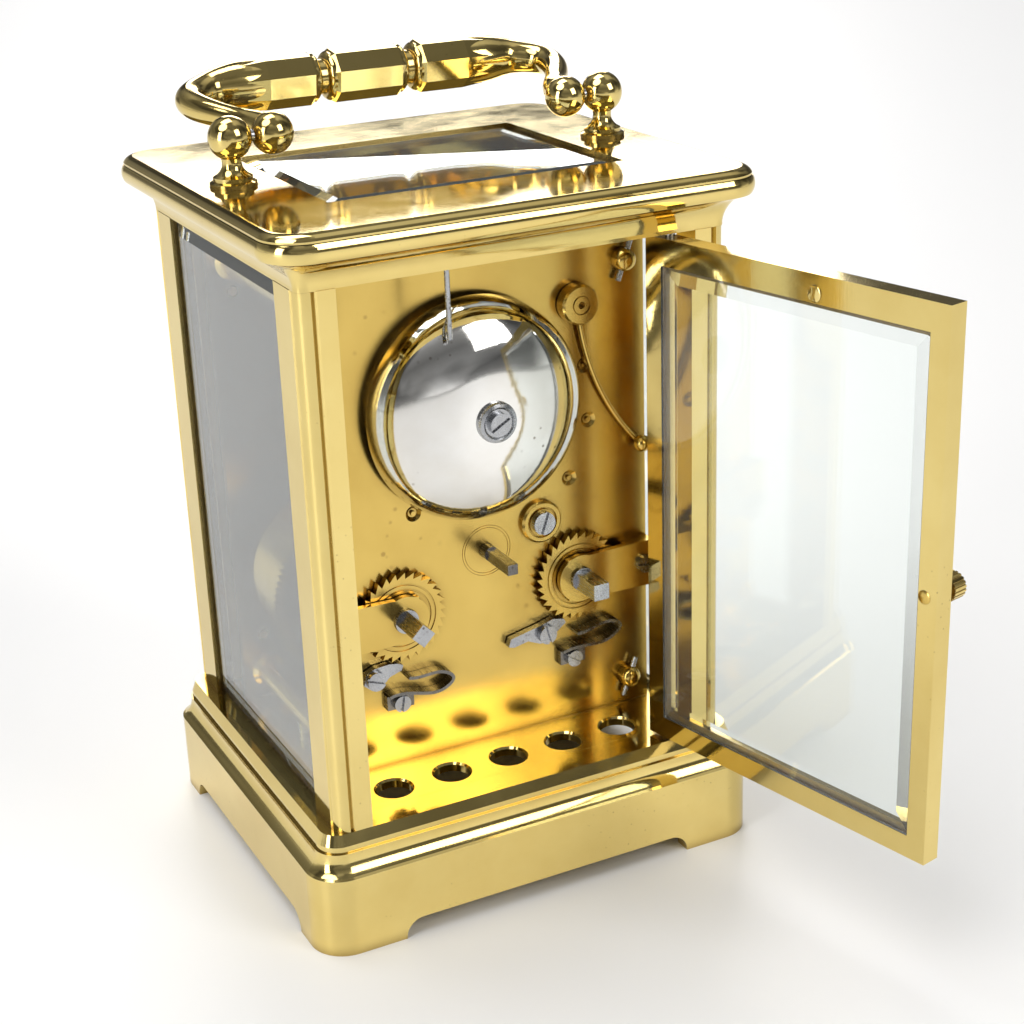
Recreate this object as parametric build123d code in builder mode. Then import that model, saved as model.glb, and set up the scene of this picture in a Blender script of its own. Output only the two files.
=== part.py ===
from build123d import *
import math
import os

os.makedirs("parts", exist_ok=True)

# A glazed brass travelling clock with a bell strike.
# +Z is up, the dial faces -Y, the back door is at +Y, and the origin is under the middle of the case.
# Every arbor between the plates runs along Y, so its place is a point (x, z).

# ---------------------------------------------------------------- driving dimensions
# Case
plinth_width = 95.6
plinth_depth = 84.8
plinth_height = 16.1
plinth_corner = 7.0
plinth_wall = 3.4
apron_height = 3.8
apron_gap_width = 62.2
apron_gap_depth = 60.0
ovolo_rise = 4.4
floor_top = 24.0
floor_thickness = 1.8
shelf_thickness = 2.4
case_screw_x = 39.5
case_screw_y = 35.6
case_screw_radius = 0.98
screw_head_radius = 1.9
screw_head_height = 1.5
case_width = 84.2
case_depth = 78.0
case_opening = 102.7
post_back_width = 6.95
post_side_width = 11.0
post_jamb_depth = 6.5
post_side_thickness = 3.6
post_corner = 3.0
post_groove = 0.8
glass_thickness = 2.2
glass_groove = 1.2
glass_bevel = 3.2
side_pane_setback = 0.8
front_pane_setback = 1.2
cavetto_rise = 6.0
bead_width = 95.8
bead_depth = 89.5
bead_height = 3.2
bead_corner = 8.0
frame_opening_width = 72.0
frame_opening_depth = 66.0
lid_gap = 0.15
lid_height = 1.5
lid_inset = 2.4
lid_glass_width = 58.8
lid_glass_depth = 47.2
fit = 0.05
seat = 0.02

# Handle
handle_y = 0.3
handle_height = 8.5
post_ball_x = 38.1
bail_ball_x = 30.0
post_ball_radius = 4.0
bail_ball_radius = 3.9
bail_lean = 8.5
bail_reach = 28.6
grip_width = 9.7
neck_place = 9.2
neck_half = 0.7
neck_radius = 3.4
bead_length = 1.5
grip_end = 25.6
arm_start = 24.0
arm_radius_at_ball = 2.2
arm_radius_at_grip = 4.75
handle_pin_radius = 1.1

# Back door, shown standing open
door_open_angle = 102.7
door_pivot_x = -30.6
door_pivot_from_back = 1.45
door_thickness = 3.8
door_gap = 0.65
door_end_gap = 0.7
door_stile_width = 5.2
door_rail_width = 6.4
door_glass_rebate = 1.3
door_glass_thickness = 1.8
door_pivot_radius = 0.9
door_foot_width = 5.6
knob_radius = 2.5

# Movement frame
plate_width = 71.6
plate_top = 121.5
plate_thickness = 2.2
back_plate_rear = 19.2
plate_spacing = 39.0
pillar_x = 30.9
pillar_low = 30.0
pillar_high = 118.0
pillar_radius = 2.6
pillar_end_radius = 2.2
pillar_tail = 3.2
pillar_dome = 1.6
screw_radius = 0.9
foot_radius = 1.0

# Motion work and dial
dial_centre = (0.0, 80.0)
set_arbor_at = (0.0, 64.6)
dial_gap = 7.0
dial_radius = 27.5
dial_thickness = 1.2
mask_thickness = 0.8
hour_hand_length = 14.5
minute_hand_length = 22.0
cannon_teeth = 12
minute_wheel_teeth = 36
minute_pinion_teeth = 10
hour_wheel_teeth = 40

# Winding
winder_x = 19.1
winder_z = 55.5
winding_square = 3.3
setting_square = 2.1
square_end = 30.5
set_ring_radius = 5.1
ratchet_ring_radii = (3.7, 5.6, 6.6)
winding_arbor_radius = 2.4
winding_pivot_radius = 1.5
setting_arbor_radius = 1.5
ratchet_radius = 9.2
ratchet_teeth = 30
ratchet_thickness = 1.5
barrel_height = 15.0

# Trains: where each arbor stands
going_intermediate_at = (14.9, 75.4)
third_at = (0.0, 94.85)
contrate_at = (0.0, 108.9)
strike_intermediate_at = (-18.6, 75.8)
pin_wheel_at = (-23.1, 87.0)
warning_at = (-22.5, 98.2)
fly_at = (-15.5, 105.0)
barrel_teeth = 84
intermediate_pinion_leaves = 12
going_intermediate_teeth = 60
centre_pinion_leaves = 12
centre_teeth = 80
third_pinion_leaves = 10
third_teeth = 75
contrate_pinion_leaves = 10
contrate_teeth = 64
escape_pinion_leaves = 8
strike_intermediate_teeth = 72
pin_wheel_leaves = 12
pin_wheel_teeth = 54
warning_leaves = 12
warning_teeth = 56
fly_leaves = 8
arbor_radius = 0.8
pivot_radius = 0.45
wheel_thickness = 1.0
pinion_length = 3.4

# Platform escapement
contrate_radius = 9.6
platform_width = 27.0
platform_thickness = 1.6
escape_y = -6.0
balance_y = 8.6
balance_radius = 6.6
escape_radius = 3.9

# Bell and hammer
bell_at = (2.4, 94.7)
bell_radius = 21.7
bell_depth = 9.6
bell_wall = 0.9
bell_plate_gap = 2.0
hammer_at = (-20.6, 111.0)
hammer_head_at = (-33.9, 80.7)
hammer_head_gap = 2.3
hammer_ball_radius = 1.7
hammer_arm_radius = 0.5
hammer_arm_bow = 2.9
hammer_arm_gap = 1.1
collet_radius = 3.9
collet_height = 3.0
hammer_arbor_radius = 1.0
bush_at = (-11.8, 68.3)

# Case details
floor_inset = 2.0
ledge = 2.2
vent_radius = 3.55
vent_pitch = 12.35
vent_shift = 1.35
vent_chamfer = 0.4
pane_rebate = 1.0
lid_glass_thickness = 2.0
lid_glass_drop = 0.25

# Back door details
tenon_width = 2.4
tenon_thickness = 1.6
tenon_length = 2.2
pivot_reach = 2.4
knob_height = 4.2
knob_collar = 1.3
pin_root = 3.0

# Movement frame details
taper_pin_radius = 0.55

# Motion work details
mask_gap = 0.12
hour_pipe_radius = 2.7
cannon_radius = 1.75
motion_thickness = 1.2
hand_thickness = 0.5
minute_pinion_angle = 12.0

# Winding details
drum_rear = 5.6
great_thickness = 1.6
drum_radius = 16.2
drum_wall = 0.9
core_radius = 4.2
going_square_turn = 45
strike_square_turn = 0
going_barrel_angle = 0.0
strike_barrel_angle = 1.0
spring_width = 2.4
spring_foot_thickness = 1.3
spring_strip = 0.65
bridge_thickness = 1.3
bridge_half = 4.9
foot_length = 6.0
bush_radius = 4.3
bush_height = 1.3
bell_screw_radius = 1.2
bell_washer_radius = 3.9

# Going train details
intermediate_level = 10.0
centre_level = -13.0
third_level = 0.5
contrate_face = 1.4
contrate_tooth_width = 0.34
contrate_tooth_height = 0.62

# Strike train details
pin_level = 0.0
warning_level = -5.0
vane_half = 4.6

# Escapement details
lever_y = -0.3
escape_pivot = 0.22
escape_teeth = 15
regulator_bore = 1.3
regulator_thickness = 0.6
wire_radius = 0.5

# ---------------------------------------------------------------- places worked out from them
half_case_x = case_width / 2
half_case_y = case_depth / 2
case_top = floor_top + case_opening
bead_bottom = case_top + cavetto_rise
frame_top = bead_bottom + bead_height
lid_bottom = frame_top + lid_gap
lid_top = lid_bottom + lid_height
back_plate_front = back_plate_rear - plate_thickness
front_plate_rear = back_plate_front - plate_spacing
front_plate_front = front_plate_rear - plate_thickness
movement_screw_y = (back_plate_front + front_plate_rear) / 2
dial_back = front_plate_front - dial_gap
dial_front = dial_back - dial_thickness
handle_z = lid_top + handle_height
going_winder_at = (winder_x, winder_z)
strike_winder_at = (-winder_x, winder_z)
ratchet_rear = back_plate_rear + 0.3 + ratchet_thickness
bridge_rear = ratchet_rear + 1.6
bell_rim_y = back_plate_rear + bell_plate_gap
bell_apex_y = bell_rim_y + bell_depth


def distance(a, b):
    return math.hypot(b[0] - a[0], b[1] - a[1])


def bearing(a, b):
    return math.degrees(math.atan2(b[1] - a[1], b[0] - a[0]))


def module_for(a, teeth_a, b, teeth_b):
    """The tooth module that makes two meshing wheels fit their centre distance."""
    return 2 * distance(a, b) / (teeth_a + teeth_b)


def meshed(a, teeth_a, angle_a, b, teeth_b):
    """The angle of wheel b whose tooth gap meets wheel a's tooth, with a turned to angle_a."""
    line = bearing(a, b)
    return line + 180 + 360 / teeth_b * (0.5 - (angle_a - line) * teeth_a / 360)


def facing_front(y):
    """A sketch plane across the arbors whose own axes are X and Z; extrusions run towards the dial."""
    return Plane(origin=(0, y, 0), x_dir=(1, 0, 0), z_dir=(0, -1, 0))


def toothed_outline(centre, teeth, module, angle):
    """Wheel outline with short straight-sided teeth that leave a little play."""
    pitch = teeth * module / 2
    tip, root = pitch + 0.80 * module, pitch - 1.15 * module
    step = 2 * math.pi / teeth
    points = []
    for number in range(teeth):
        middle = math.radians(angle) + number * step
        for radius, share in ((root, -0.30), (tip, -0.12), (tip, 0.12), (root, 0.30)):
            a = middle + share * step
            points.append((centre[0] + radius * math.cos(a), centre[1] + radius * math.sin(a)))
    return points


def ratchet_outline(centre, teeth, radius, angle, hand):
    """Saw-toothed outline; hand is +1 or -1 for the way the steep faces look."""
    step = 2 * math.pi / teeth
    points = []
    for number in range(teeth):
        start = math.radians(angle) + number * step * hand
        for reach, share in ((radius, 0.0), (radius - 1.25, 0.08)):
            a = start + share * step * hand
            points.append((centre[0] + reach * math.cos(a), centre[1] + reach * math.sin(a)))
    return points if hand > 0 else points[::-1]


def slab(outline, rear, thickness, mode=Mode.ADD):
    """Adds a flat piece of that outline in X and Z, with its rear face at y = rear."""
    with BuildSketch(facing_front(rear)) as flat:
        with BuildLine():
            Polyline(outline, close=True)
        make_face()
    extrude(flat.sketch, amount=thickness, mode=mode)


def turning(centre, outline, mode=Mode.ADD):
    """Adds a turned piece on the arbor at centre; the outline's points are (radius, y)."""
    with BuildSketch(Plane(origin=(centre[0], 0, centre[1]), x_dir=(1, 0, 0), z_dir=(0, 0, 1))) as side:
        with BuildLine():
            Polyline(outline, close=True)
        make_face()
    axis = Axis((centre[0], 0, centre[1]), (0, 1, 0))
    revolve(side.sketch, axis=axis, mode=mode)


def rod(centre, radius, rear, front, mode=Mode.ADD):
    turning(centre, [(0, front), (radius, front), (radius, rear), (0, rear)], mode)


def upright(x, y, outline, mode=Mode.ADD):
    """Adds a piece turned about the vertical through (x, y); the outline's points are (radius, z)."""
    with BuildSketch(Plane(origin=(x, y, 0), x_dir=(1, 0, 0), z_dir=(0, -1, 0))) as side:
        with BuildLine():
            Polyline(outline, close=True)
        make_face()
    revolve(side.sketch, axis=Axis((x, y, 0), (0, 0, 1)), mode=mode)


def lay_moulding(section, half_x, half_y, corner):
    """Runs a section, drawn as (distance from the corner's centre, z), round a rounded rectangle."""
    up = Vector(0, 0, 1)
    for quarter in range(4):
        out = Vector(1, 0, 0).rotate(Axis.Z, 90 * quarter)
        reach, run = (half_x - corner, half_y - corner) if quarter % 2 == 0 else (half_y - corner,
                                                                                  half_x - corner)
        middle = out * reach
        end = middle + up.cross(out) * run
        extrude(Plane(origin=middle, x_dir=out, z_dir=out.cross(up)) * section, amount=run, both=True)
        at_corner = Plane(origin=end, x_dir=out, z_dir=out.cross(up)) * section
        revolve(at_corner, axis=Axis(end, up), revolution_arc=90)


def arbor_with_pinion(centre, leaves, module, angle, pinion_rear, length=None):
    """A steel arbor pivoted in both plates, with its pinion cut on it."""
    rod(centre, arbor_radius, back_plate_front - 0.15, front_plate_rear + 0.15)
    rod(centre, pivot_radius, back_plate_rear - fit, front_plate_front + fit)
    slab(toothed_outline(centre, leaves, module, angle), pinion_rear, length or pinion_length)


def crossed_wheel(centre, teeth, module, angle, rear, spokes):
    """A thin brass wheel with its centre crossed out into spokes."""
    root = teeth * module / 2 - 1.15 * module
    rim, hub = root - 1.3, arbor_radius + 1.3
    slab(toothed_outline(centre, teeth, module, angle), rear, wheel_thickness)
    spoke = 1.3
    with BuildSketch(facing_front(rear)) as windows:
        with Locations((centre[0], centre[1])):
            Circle(rim)
            Circle(hub, mode=Mode.SUBTRACT)
            with PolarLocations(0, spokes, start_angle=angle):
                Rectangle(rim + 1, spoke, align=(Align.MIN, Align.CENTER), mode=Mode.SUBTRACT)
    extrude(windows.sketch, amount=wheel_thickness, mode=Mode.SUBTRACT)


def slotted_screw(centre, head_radius, head_rear, head_height, shank_radius, shank_length, slot_angle=30):
    """A cheese-head screw driven in from behind, its slot cut across the head."""
    rod(centre, head_radius, head_rear, head_rear - head_height)
    rod(centre, shank_radius, head_rear - head_height, head_rear - head_height - shank_length)
    with BuildSketch(facing_front(head_rear)) as slot:
        with Locations(Location((centre[0], centre[1], 0), (0, 0, slot_angle))):
            Rectangle(3 * head_radius, 0.28 * head_radius)
    extrude(slot.sketch, amount=0.45 * head_height, mode=Mode.SUBTRACT)


def bevelled_pane(width, height, thickness, bevel):
    """A flat pane, centred at the origin in XY, with its top edges ground to a wide bevel."""
    edge = 0.55 * thickness
    with BuildPart() as pane:
        with BuildSketch():
            Rectangle(width, height)
        extrude(amount=edge)
        with BuildSketch(Plane.XY.offset(edge)):
            Rectangle(width, height)
        with BuildSketch(Plane.XY.offset(thickness)):
            Rectangle(width - 2 * bevel, height - 2 * bevel)
        loft()
    return pane.part


def finish(part, name):
    part.label = name
    export_step(part, "parts/" + name + ".step")


# ---------------------------------------------------------------- case
half_plinth_x = plinth_width / 2
half_plinth_y = plinth_depth / 2
moulding_inset = half_plinth_y - half_case_y
step_height = plinth_height + ovolo_rise
shelf_under = floor_top - floor_thickness - shelf_thickness
case_screw_places = [(x, y) for x in (-case_screw_x, case_screw_x) for y in (-case_screw_y, case_screw_y)]
with BuildSketch() as plinth_section:
    with BuildLine():
        inner = plinth_corner - plinth_wall
        Polyline(
            (inner, 0),
            (plinth_corner, 0),
            (plinth_corner, plinth_height),
            (plinth_corner - 0.5, plinth_height + 0.3),
        )
        RadiusArc(
            (plinth_corner - 0.5, plinth_height + 0.3),
            (plinth_corner - 0.62 * moulding_inset, step_height),
            ovolo_rise,
        )
        Polyline(
            (plinth_corner - 0.62 * moulding_inset, step_height),
            (plinth_corner - 0.75 * moulding_inset, step_height),
            (plinth_corner - 0.75 * moulding_inset, step_height + 1.3),
            (plinth_corner - moulding_inset, floor_top),
            (0, floor_top),
            (0, shelf_under),
            (inner, shelf_under),
            (inner, 0),
        )
    make_face()

floor_half_x = half_plinth_x - plinth_corner - floor_inset
floor_half_y = half_plinth_y - plinth_corner - floor_inset
with BuildPart() as base:
    lay_moulding(plinth_section.sketch, half_plinth_x, half_plinth_y, plinth_corner)
    with BuildSketch(Plane.XY.offset(floor_top)) as rim:
        Rectangle(plinth_width - 2 * plinth_corner, plinth_depth - 2 * plinth_corner)
        Rectangle(2 * floor_half_x + 2 * fit, 2 * floor_half_y + 2 * fit, mode=Mode.SUBTRACT)
    extrude(amount=-floor_thickness)
    with BuildSketch(Plane.XY.offset(floor_top - floor_thickness)) as shelf:
        Rectangle(plinth_width - 2 * plinth_corner, plinth_depth - 2 * plinth_corner)
        Rectangle(2 * floor_half_x - 2 * ledge, 2 * floor_half_y - 2 * ledge, mode=Mode.SUBTRACT)
    extrude(amount=-shelf_thickness)
    with BuildSketch(Plane.XZ) as front_gap:
        Rectangle(apron_gap_width, 2 * apron_height)
        fillet(front_gap.vertices(), apron_height * 0.95)
    extrude(amount=plinth_depth, both=True, mode=Mode.SUBTRACT)
    with BuildSketch(Plane.YZ) as side_gap:
        Rectangle(apron_gap_depth, 2 * apron_height)
        fillet(side_gap.vertices(), apron_height * 0.95)
    extrude(amount=plinth_width, both=True, mode=Mode.SUBTRACT)
    with Locations(*[(x, y, floor_top) for x, y in case_screw_places]):
        Hole(case_screw_radius + seat, depth=6)
    with Locations((door_pivot_x, half_case_y - door_pivot_from_back, floor_top)):
        Hole(door_pivot_radius + seat, depth=3.2)
finish(base.part, "base")

vent_y = half_case_y - 10.9
with BuildPart() as floor_plate:
    with BuildSketch(Plane.XY.offset(floor_top)) as sheet:
        Rectangle(2 * floor_half_x, 2 * floor_half_y)
        with Locations((vent_shift, vent_y)):
            with GridLocations(vent_pitch, 1, 5, 1):
                Circle(vent_radius, mode=Mode.SUBTRACT)
        with Locations((-pillar_x, movement_screw_y), (pillar_x, movement_screw_y)):
            Circle(screw_radius + seat, mode=Mode.SUBTRACT)
    extrude(amount=-floor_thickness)
    vent_rims = floor_plate.edges().filter_by(GeomType.CIRCLE).group_by(Axis.Z)[-1]
    chamfer(vent_rims.filter_by(lambda rim: rim.radius > screw_radius + 1), vent_chamfer)
finish(floor_plate.part, "floor_plate")

post_height = case_opening
post_inner_x = half_case_x - post_back_width
with BuildSketch() as post_section:
    with BuildLine():
        Polyline(
            (post_inner_x, half_case_y),
            (post_inner_x, half_case_y - post_jamb_depth),
            (half_case_x - post_side_thickness, half_case_y - post_jamb_depth),
            (half_case_x - post_side_thickness, half_case_y - post_side_width),
            (half_case_x, half_case_y - post_side_width),
            (half_case_x, half_case_y),
            close=True,
        )
    make_face()
    corner_point = post_section.vertices().group_by(Axis.X)[-1].sort_by(Axis.Y)[-1]
    fillet(corner_point, post_corner)
    groove_x = half_case_x - post_corner
    groove_y = half_case_y - post_corner
    with Locations((groove_x, half_case_y), (half_case_x, groove_y)):
        Rectangle(post_groove, post_groove, rotation=45, mode=Mode.SUBTRACT)
    # slots for the panes' edges
    side_slot_x = half_case_x - side_pane_setback - glass_thickness / 2
    with Locations((side_slot_x, half_case_y - post_side_width)):
        Rectangle(glass_thickness + 2 * fit, 2 * glass_groove, mode=Mode.SUBTRACT)
front_slot_y = half_case_y - front_pane_setback - glass_thickness / 2
with BuildPart() as case_posts:
    for side in (1, -1):
        for end in (1, -1):
            section = post_section.sketch
            if side < 0:
                section = section.mirror(Plane.YZ)
            if end < 0:
                section = section.mirror(Plane.XZ)
            with BuildSketch(Plane.XY.offset(floor_top)) as post:
                add(section)
                if end < 0:
                    with Locations((side * post_inner_x, -front_slot_y)):
                        Rectangle(2 * glass_groove, glass_thickness + 2 * fit, mode=Mode.SUBTRACT)
            extrude(amount=post_height)
finish(case_posts.part, "case_posts")

# The cornice: a hollow cove under a half-round bead, with the window for the movement inside it.
half_bead_x = bead_width / 2
half_bead_y = bead_depth / 2
cove_foot = bead_corner - (half_bead_x - half_case_x) - 0.1
with BuildSketch() as cornice_section:
    with BuildLine():
        Line((0, case_top), (cove_foot, case_top))
        Line((cove_foot, case_top), (cove_foot, case_top + 0.7))
        RadiusArc((cove_foot, case_top + 0.7), (bead_corner - 1.2, bead_bottom - 0.2), cavetto_rise)
        Line((bead_corner - 1.2, bead_bottom - 0.2), (bead_corner - 1.2, bead_bottom))
        Line((bead_corner - 1.2, bead_bottom), (bead_corner - 0.5, bead_bottom))
        ThreePointArc(
            (bead_corner - 0.5, bead_bottom),
            (bead_corner, bead_bottom + bead_height / 2),
            (bead_corner - 0.5, frame_top),
        )
        Line((bead_corner - 0.5, frame_top), (0, frame_top))
        Line((0, frame_top), (0, case_top))
    make_face()
with BuildPart() as top_frame:
    lay_moulding(cornice_section.sketch, half_bead_x, half_bead_y, bead_corner)
    with BuildSketch(Plane.XY.offset(case_top)) as ring:
        Rectangle(bead_width - 2 * bead_corner, bead_depth - 2 * bead_corner)
        Rectangle(frame_opening_width, frame_opening_depth, mode=Mode.SUBTRACT)
    extrude(amount=frame_top - case_top)
    with BuildSketch(Plane.XY.offset(case_top)):
        with Locations((door_pivot_x, half_case_y - door_pivot_from_back)):
            Circle(door_pivot_radius + seat)
    extrude(amount=3.2, mode=Mode.SUBTRACT)
finish(top_frame.part, "top_frame")

with BuildSketch() as lid_section:
    with BuildLine():
        Polyline((0, frame_top), (bead_corner - 2.2, frame_top), (bead_corner - 2.2, lid_bottom),
                 (bead_corner - 0.6, lid_bottom), (bead_corner - 0.6, lid_bottom + 0.35))
        RadiusArc((bead_corner - 0.6, lid_bottom + 0.35), (bead_corner - lid_inset, lid_top), -2.4)
        Polyline((bead_corner - lid_inset, lid_top), (0, lid_top), (0, frame_top))
    make_face()
with BuildPart() as lid_plate:
    lay_moulding(lid_section.sketch, half_bead_x, half_bead_y, bead_corner)
    with BuildSketch(Plane.XY.offset(lid_top)) as sheet:
        Rectangle(bead_width - 2 * bead_corner, bead_depth - 2 * bead_corner)
    extrude(amount=frame_top - lid_top)
    # lip under the pane, reaching down inside the cornice
    with BuildSketch(Plane.XY.offset(frame_top)) as lip:
        Rectangle(lid_glass_width + 3, lid_glass_depth + 3)
    extrude(amount=-2.4)
    with BuildSketch(Plane.XY.offset(lid_top)) as window:
        Rectangle(lid_glass_width + 2 * fit, lid_glass_depth + 2 * fit)
    extrude(amount=-lid_glass_drop - lid_glass_thickness, mode=Mode.SUBTRACT)
    with BuildSketch(Plane.XY.offset(lid_top)) as sight:
        Rectangle(lid_glass_width - 2 * pane_rebate, lid_glass_depth - 2 * pane_rebate)
    extrude(amount=-10, mode=Mode.SUBTRACT)
    with Locations((post_ball_x, handle_y, lid_top), (-post_ball_x, handle_y, lid_top)):
        Hole(1.5 + seat, depth=lid_top - frame_top + 1)
finish(lid_plate.part, "lid_plate")

with BuildPart() as lid_glass:
    pane = bevelled_pane(lid_glass_width, lid_glass_depth, lid_glass_thickness, glass_bevel)
    add(Pos(0, 0, lid_top - lid_glass_drop - lid_glass_thickness) * pane)
finish(lid_glass.part, "lid_glass")

# Side and front panes: each stands in the posts' slots, with its bevels outwards.
side_pane_width = case_depth - 2 * post_side_width + 2 * glass_groove - 2 * fit
front_pane_width = 2 * post_inner_x + 2 * glass_groove - 2 * fit
with BuildPart() as case_glasses:
    side_pane = bevelled_pane(side_pane_width, case_opening, glass_thickness, glass_bevel)
    pane_middle = floor_top + case_opening / 2
    slot_inner_x = side_slot_x - glass_thickness / 2
    for side in (1, -1):
        add(Plane(origin=(side * slot_inner_x, 0, pane_middle), x_dir=(0, side, 0),
                  z_dir=(side, 0, 0)) * side_pane)
    front_pane = bevelled_pane(front_pane_width, case_opening, glass_thickness, glass_bevel)
    slot_inner_y = -front_slot_y + glass_thickness / 2
    add(Plane(origin=(0, slot_inner_y, pane_middle), x_dir=(1, 0, 0), z_dir=(0, -1, 0)) * front_pane)
finish(case_glasses.part, "case_glasses")

# Screws up through the base, and the heads hidden in the plinth's hollow.
with BuildPart() as case_screws:
    for x, y in case_screw_places:
        upright(x, y,
                [(0, shelf_under - screw_head_height), (screw_head_radius, shelf_under - screw_head_height),
                       (screw_head_radius, shelf_under), (case_screw_radius, shelf_under),
                       (case_screw_radius, floor_top - 0.1), (0, floor_top - 0.1)])
    for x in (-pillar_x, pillar_x):
        under = floor_top - floor_thickness
        upright(x, movement_screw_y,
                [(0, under - screw_head_height), (screw_head_radius, under - screw_head_height),
                                      (screw_head_radius, under), (screw_radius, under),
                                      (screw_radius, pillar_low), (0, pillar_low)])
finish(case_screws.part, "case_screws")

# ---------------------------------------------------------------- handle
with BuildPart() as handle_posts:
    for x in (post_ball_x, -post_ball_x):
        with BuildSketch(Plane(origin=(x, handle_y, 0), x_dir=(1, 0, 0), z_dir=(0, -1, 0))) as baluster:
            neck_top = handle_z - 0.92 * post_ball_radius
            with BuildLine():
                Polyline((0, frame_top + 0.2), (1.5, frame_top + 0.2), (1.5, lid_top), (4.3, lid_top),
                         (4.3, lid_top + 0.7), (3.6, lid_top + 1.0), (3.6, lid_top + 1.7),
                         (2.9, lid_top + 2.1))
                Spline((2.9, lid_top + 2.1), (1.85, lid_top + 3.6), (1.9, neck_top + 0.35))
                Polyline((1.9, neck_top + 0.35), (0, neck_top + 0.35), (0, frame_top + 0.2))
            make_face()
        revolve(axis=Axis((x, handle_y, 0), (0, 0, 1)))
        with Locations((x, handle_y, handle_z)):
            Sphere(post_ball_radius)
        # bore for the pivot pin
        side = math.copysign(1, x)
        with BuildSketch(Plane(origin=(x, handle_y, handle_z), x_dir=(0, 1, 0), z_dir=(-side, 0, 0))) as bore:
            Circle(handle_pin_radius + seat)
        extrude(amount=post_ball_radius + 1, mode=Mode.SUBTRACT)
finish(handle_posts.part, "handle_posts")

with BuildPart() as handle_pins:
    for side in (1, -1):
        with BuildSketch(Plane(origin=(side * (post_ball_x - 0.2), handle_y, handle_z), x_dir=(0, 1, 0),
                               z_dir=(-side, 0, 0))) as pin:
            Circle(handle_pin_radius)
        extrude(amount=post_ball_x - bail_ball_x + 1.0)
finish(handle_pins.part, "handle_pins")

# One arm from its pivot ball to the grip, as (u, minus w), and how it swells on the way.
arm_route = [
    (-bail_ball_x, -1.0),
    (-bail_ball_x - 3.0, -9.5),
    (-bail_ball_x - 7.3, -18.0),
    (-bail_ball_x - 7.4, -23.4),
    (-bail_ball_x - 3.6, -bail_reach + 1.4),
    (-arm_start, -bail_reach),
]
# How the arms swell from the pivot ball to the grip: (place along the arm, share of the swelling).
arm_swelling = [(0.0, 0.0), (0.2, 0.02), (0.4, 0.10), (0.58, 0.22), (0.72, 0.34), (0.82, 0.55),
                (0.91, 0.82), (1.0, 1.0)]

# The bail lies in a plane through its pivots: u runs along X and w away from the pivots.
lean = math.radians(bail_lean)
bail_plane = Plane(
    origin=(0, handle_y, handle_z),
    x_dir=(1, 0, 0),
    z_dir=(0, math.sin(lean), math.cos(lean)),
)
# its local y points to the dial side when negative, so w is minus y
with BuildPart() as carry_handle:
    grip_axis = bail_plane.from_local_coords((0, -bail_reach, 0))
    across_grip = Plane(origin=grip_axis, x_dir=bail_plane.y_dir, z_dir=(1, 0, 0))
    with BuildLine() as arm:
        Spline(
            [bail_plane.from_local_coords(point) for point in arm_route],
            tangents=(-bail_plane.y_dir, bail_plane.x_dir),
        )
    line = arm.line
    sections = []
    for place, share in arm_swelling:
        radius = arm_radius_at_ball + share * (arm_radius_at_grip - arm_radius_at_ball)
        with BuildSketch(Plane(origin=line @ place, x_dir=bail_plane.z_dir, z_dir=line % place)) as arm_section:
            Circle(radius)
        sections.append(arm_section.sketch)
    sweep(sections=sections, path=line, multisection=True)
    with BuildSketch(across_grip.offset(-arm_start)) as root:
        Circle(arm_radius_at_grip)
    extrude(root.sketch, amount=arm_start - neck_place - bead_length - 1)
    with Locations(bail_plane * Location((-bail_ball_x, 0, 0))):
        Sphere(bail_ball_radius)
    mirror(about=Plane.YZ)
    # an octagonal grip in three lengths whose ends are turned round, with thin necks between them
    flat_radius = grip_width / 2
    corner_radius = flat_radius / math.cos(math.pi / 8)
    outer_start = neck_place + neck_half + bead_length
    middle_end = neck_place - neck_half - bead_length
    outer_grip = [(outer_start - 0.5, 0.90), (outer_start + 0.4, 1.0), (grip_end - 4.5, 1.0),
                  (grip_end, 0.905)]
    middle_grip = [(-middle_end - 0.5, 0.90), (-middle_end + 0.4, 1.0), (middle_end - 0.4, 1.0),
                   (middle_end + 0.5, 0.90)]
    far_grip = [(-place, share) for place, share in reversed(outer_grip)]
    for stations in (far_grip, middle_grip, outer_grip):
        for (start, start_share), (end, end_share) in zip(stations, stations[1:]):
            with BuildSketch(across_grip.offset(start)) as near:
                RegularPolygon(corner_radius * start_share, 8, rotation=22.5)
            with BuildSketch(across_grip.offset(end)) as far:
                RegularPolygon(corner_radius * end_share, 8, rotation=22.5)
            loft(sections=[near.sketch, far.sketch], ruled=True)
    with BuildSketch(bail_plane) as bead_profile:
        for side in (1, -1):
            for neck_side in (1, -1):
                start = side * neck_place + neck_side * neck_half
                crown = start + neck_side * bead_length * 0.62
                end = start + neck_side * bead_length
                low, high = -bail_reach, -bail_reach + flat_radius - 0.1
                with BuildLine():
                    Line((start, low), (start, low + neck_radius))
                    ThreePointArc((start, low + neck_radius),
                                  ((start + crown) / 2 - neck_side * 0.14,
                                   (low + neck_radius + high) / 2 + 0.2),
                                  (crown, high))
                    Line((crown, high), (end + neck_side * 0.3, high - 0.25))
                    Line((end + neck_side * 0.3, high - 0.25), (end + neck_side * 0.3, low))
                    Line((end + neck_side * 0.3, low), (start, low))
                make_face()
    revolve(bead_profile.sketch, axis=Axis(grip_axis, (1, 0, 0)))
    with BuildSketch(across_grip.offset(-neck_place - 1)) as core:
        Circle(neck_radius)
    extrude(core.sketch, amount=2 * neck_place + 2)
    # running bores for the pivot pins
    for side in (1, -1):
        with BuildSketch(Plane(origin=(side * (bail_ball_x + bail_ball_radius + 1), handle_y, handle_z),
                               x_dir=(0, 1, 0), z_dir=(-side, 0, 0))) as bore:
            Circle(handle_pin_radius + fit)
        extrude(bore.sketch, amount=bail_ball_radius + 1 + 1.5, mode=Mode.SUBTRACT)
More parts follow.
